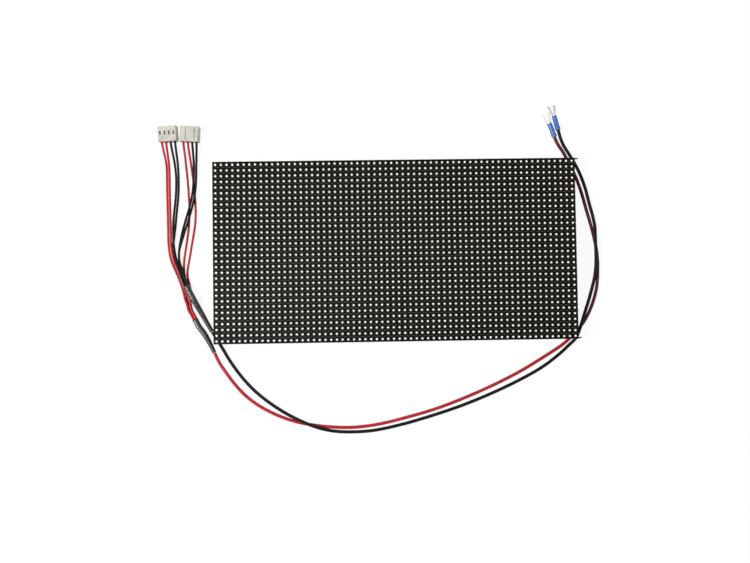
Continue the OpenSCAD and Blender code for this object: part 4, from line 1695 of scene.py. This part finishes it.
@dataclass
class Terminations:
    """The tinned ends of the small capacitors and resistors.

    Attributes:
        share: Share of the length that one end covers.
        over: How far it stands proud of the body.
        chamfer: Width of the chamfer along its outer edges.
    """

    share: float = 0.2
    over: float = 0.03
    chamfer: float = 0.08

    def end(self, low: np.ndarray, high: np.ndarray, side: int) -> tuple[np.ndarray, list[Face]]:
        """One end of one body.

        Args:
            low: The body's lowest corner.
            high: Its highest corner.
            side: -1 for the end with the lower coordinate, 1 for the other.

        Returns:
            Points and triangles.
        """
        size = high - low
        along = 0 if size[0] > size[1] else 1
        across = 1 - along
        outer = (high if side > 0 else low)[along] + side * self.over
        inner = outer - side * (self.share * size[along] + self.over)
        points = []
        for at, inset in ((inner, 0.0), (outer - side * self.chamfer, 0.0), (outer, self.chamfer)):
            for a, b in ((-1, -1), (1, -1), (1, 1), (-1, 1)):
                point = np.zeros(3)
                point[along] = at
                half = size[across] / 2 + self.over - inset
                point[across] = (low[across] + high[across]) / 2 + a * half
                point[2] = high[2] if b > 0 else low[2] - self.over + inset
                points.append(point)
        quads = tube(3, 4) + [(8, 9, 10, 11)]
        return np.array(points), triangulate([quad[::side] for quad in quads]).tolist()

    def build(self, dresser: Dresser) -> list[bpy.types.Object]:
        """Makes every end as one piece.

        Args:
            dresser: Gives the material.

        Returns:
            The piece.
        """
        heap = Heap()
        for name in ("ceramic_capacitors", "resistors"):
            for low, high in islands(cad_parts[name]):
                for side in (-1, 1):
                    heap.add(*self.end(low, high, side))
        return [dresser.settle(heap.piece("solder_ends"), Finish.TIN)]


@dataclass
class BackSide:
    """The pieces behind the mask that keep their solids and only get a finish.

    Attributes:
        module: The module that they belong to.
    """

    module: Module

    def build(self, dresser: Dresser) -> list[bpy.types.Object]:
        """Dresses the nodes.

        Args:
            dresser: Gives the materials.

        Returns:
            The nodes' objects.
        """
        board = Laminate(self.module.board_front_z, self.module.board_back_z)
        finishes = (
            (board, "circuit_board"),
            (Finish.FRAME, "back_frame", "frame_rails", "frame_ribs"),
            (Finish.BRASS, "threaded_inserts"),
            (Finish.ZINC, "mask_screws"),
            (Finish.CHIP, "driver_chips", "row_chips", "buffer_chips"),
            (Finish.CAPACITOR, "ceramic_capacitors"),
            (Finish.RESISTOR, "resistors"),
            (Finish.CAN, "capacitor_cans"),
            (Finish.SOCKET, "capacitor_bases", "data_sockets"),
            (Finish.GOLD, "data_pins"),
            (Finish.HEADER, "power_header"),
            (Finish.TIN, "power_pins"),
        )
        dressed = []
        for finish, *names in finishes:
            for name in names:
                dresser.dress(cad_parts[name], finish)
                dressed.append(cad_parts[name])
        return dressed


# ---------------------------------------------------------------------------------------------
# The studio


@dataclass(frozen=True)
class SoftLight:
    """A square lamp that looks at the origin.

    Attributes:
        place: Where it stands.
        size: Its width.
        power: Its power in watts.
    """

    place: Point
    size: float
    power: float


class Light(Enum):
    """The studio's lamps."""

    KEY = SoftLight((-620.0, -120.0, 700.0), 400.0, 10.0)
    FILL = SoftLight((800.0, 500.0, 1000.0), 900.0, 3.0)


@dataclass
class Studio:
    """The camera, the floor and the lights.

    Attributes:
        eye: The camera's place.
        tilt: Its turns in degrees, zero looking straight down.
        focal: Focal length for a 36 mm wide picture.
        floor_half: Half the width of the floor.
        floor_matt: How pale the floor is as a matt surface, which takes the shadow.
        floor_glow: Strength of the white that it shows.
        floor_share: How much of that white it shows.
        ambient: Strength of the light from all round.
    """

    eye: Point = (-28.5, -45.0, 630.3)
    tilt: Point = (1.685, -0.9165, -0.857)
    focal: float = 33.6
    floor_half: float = 6000.0
    floor_matt: float = 0.72
    floor_glow: float = 1.05
    floor_share: float = 0.86
    ambient: float = 0.42

    def camera(self) -> None:
        """Makes the camera."""
        lens = bpy.data.cameras.new("camera")
        lens.sensor_width = 36.0
        lens.lens = self.focal
        lens.clip_start = 0.01
        lens.clip_end = 20.0
        camera = bpy.data.objects.new("camera", lens)
        camera.location = Vector(self.eye) * MM
        camera.rotation_euler = Euler([math.radians(turn) for turn in self.tilt], "XYZ")
        bpy.context.scene.collection.objects.link(camera)
        bpy.context.scene.camera = camera

    def floor(self) -> None:
        """Makes the pale floor that keeps the object's shadow."""
        half = self.floor_half
        corners = [(-half, -half, 0.0), (half, -half, 0.0), (half, half, 0.0), (-half, half, 0.0)]
        floor = make_mesh("floor", np.array(corners), [(0, 1, 2, 3)])
        shader = Shader("floor_white")
        white = {"Color": (1.0, 1.0, 1.0), "Strength": self.floor_glow}
        glow = shader.value("ShaderNodeEmission", inputs=white)
        matt = shader.value("ShaderNodeBsdfDiffuse", inputs={"Color": (self.floor_matt,) * 3})
        mixed = shader.backdrop(matt, glow, self.floor_share)
        shader.node("ShaderNodeOutputMaterial", inputs={"Surface": mixed})
        floor.data.materials.append(shader.owner)

    def surroundings(self) -> None:
        """Makes the soft light from all round, which is seen as white."""
        sky = Shader("surroundings", world=True)
        plain, white = (
            sky.value("ShaderNodeBackground", inputs={"Color": (1.0, 1.0, 1.0), "Strength": power})
            for power in (self.ambient, 1.0)
        )
        sky.node("ShaderNodeOutputWorld", inputs={"Surface": sky.backdrop(plain, white)})
        bpy.context.scene.world = sky.owner

    def lights(self) -> None:
        """Makes the lamps."""
        for light in Light:
            soft = light.value
            lamp = bpy.data.lights.new(light.name.lower(), "AREA")
            lamp.energy = soft.power
            lamp.size = soft.size * MM
            made = bpy.data.objects.new(light.name.lower(), lamp)
            made.location = Vector(soft.place) * MM
            made.rotation_euler = (-made.location).to_track_quat("-Z", "Y").to_euler()
            bpy.context.scene.collection.objects.link(made)

    def build(self) -> None:
        """Makes the whole studio."""
        bpy.context.scene.view_settings.view_transform = "Standard"
        self.camera()
        self.floor()
        self.surroundings()
        self.lights()


def main() -> None:
    """Builds the studio and the lead first, then the module, and reports each piece."""
    logging.basicConfig(level=logging.INFO)
    dresser = Dresser()
    module = Module()
    Studio().build()
    parts = (
        PowerLead(),
        FrontMask(module),
        Lamps(module),
        BackSide(module),
        ChipLeads(module),
        Terminations(),
    )
    for part in parts:
        for piece in part.build(dresser):
            LOG.info("%s: %s", type(part).__name__, piece.name)


if __name__ == "__main__":
    main()
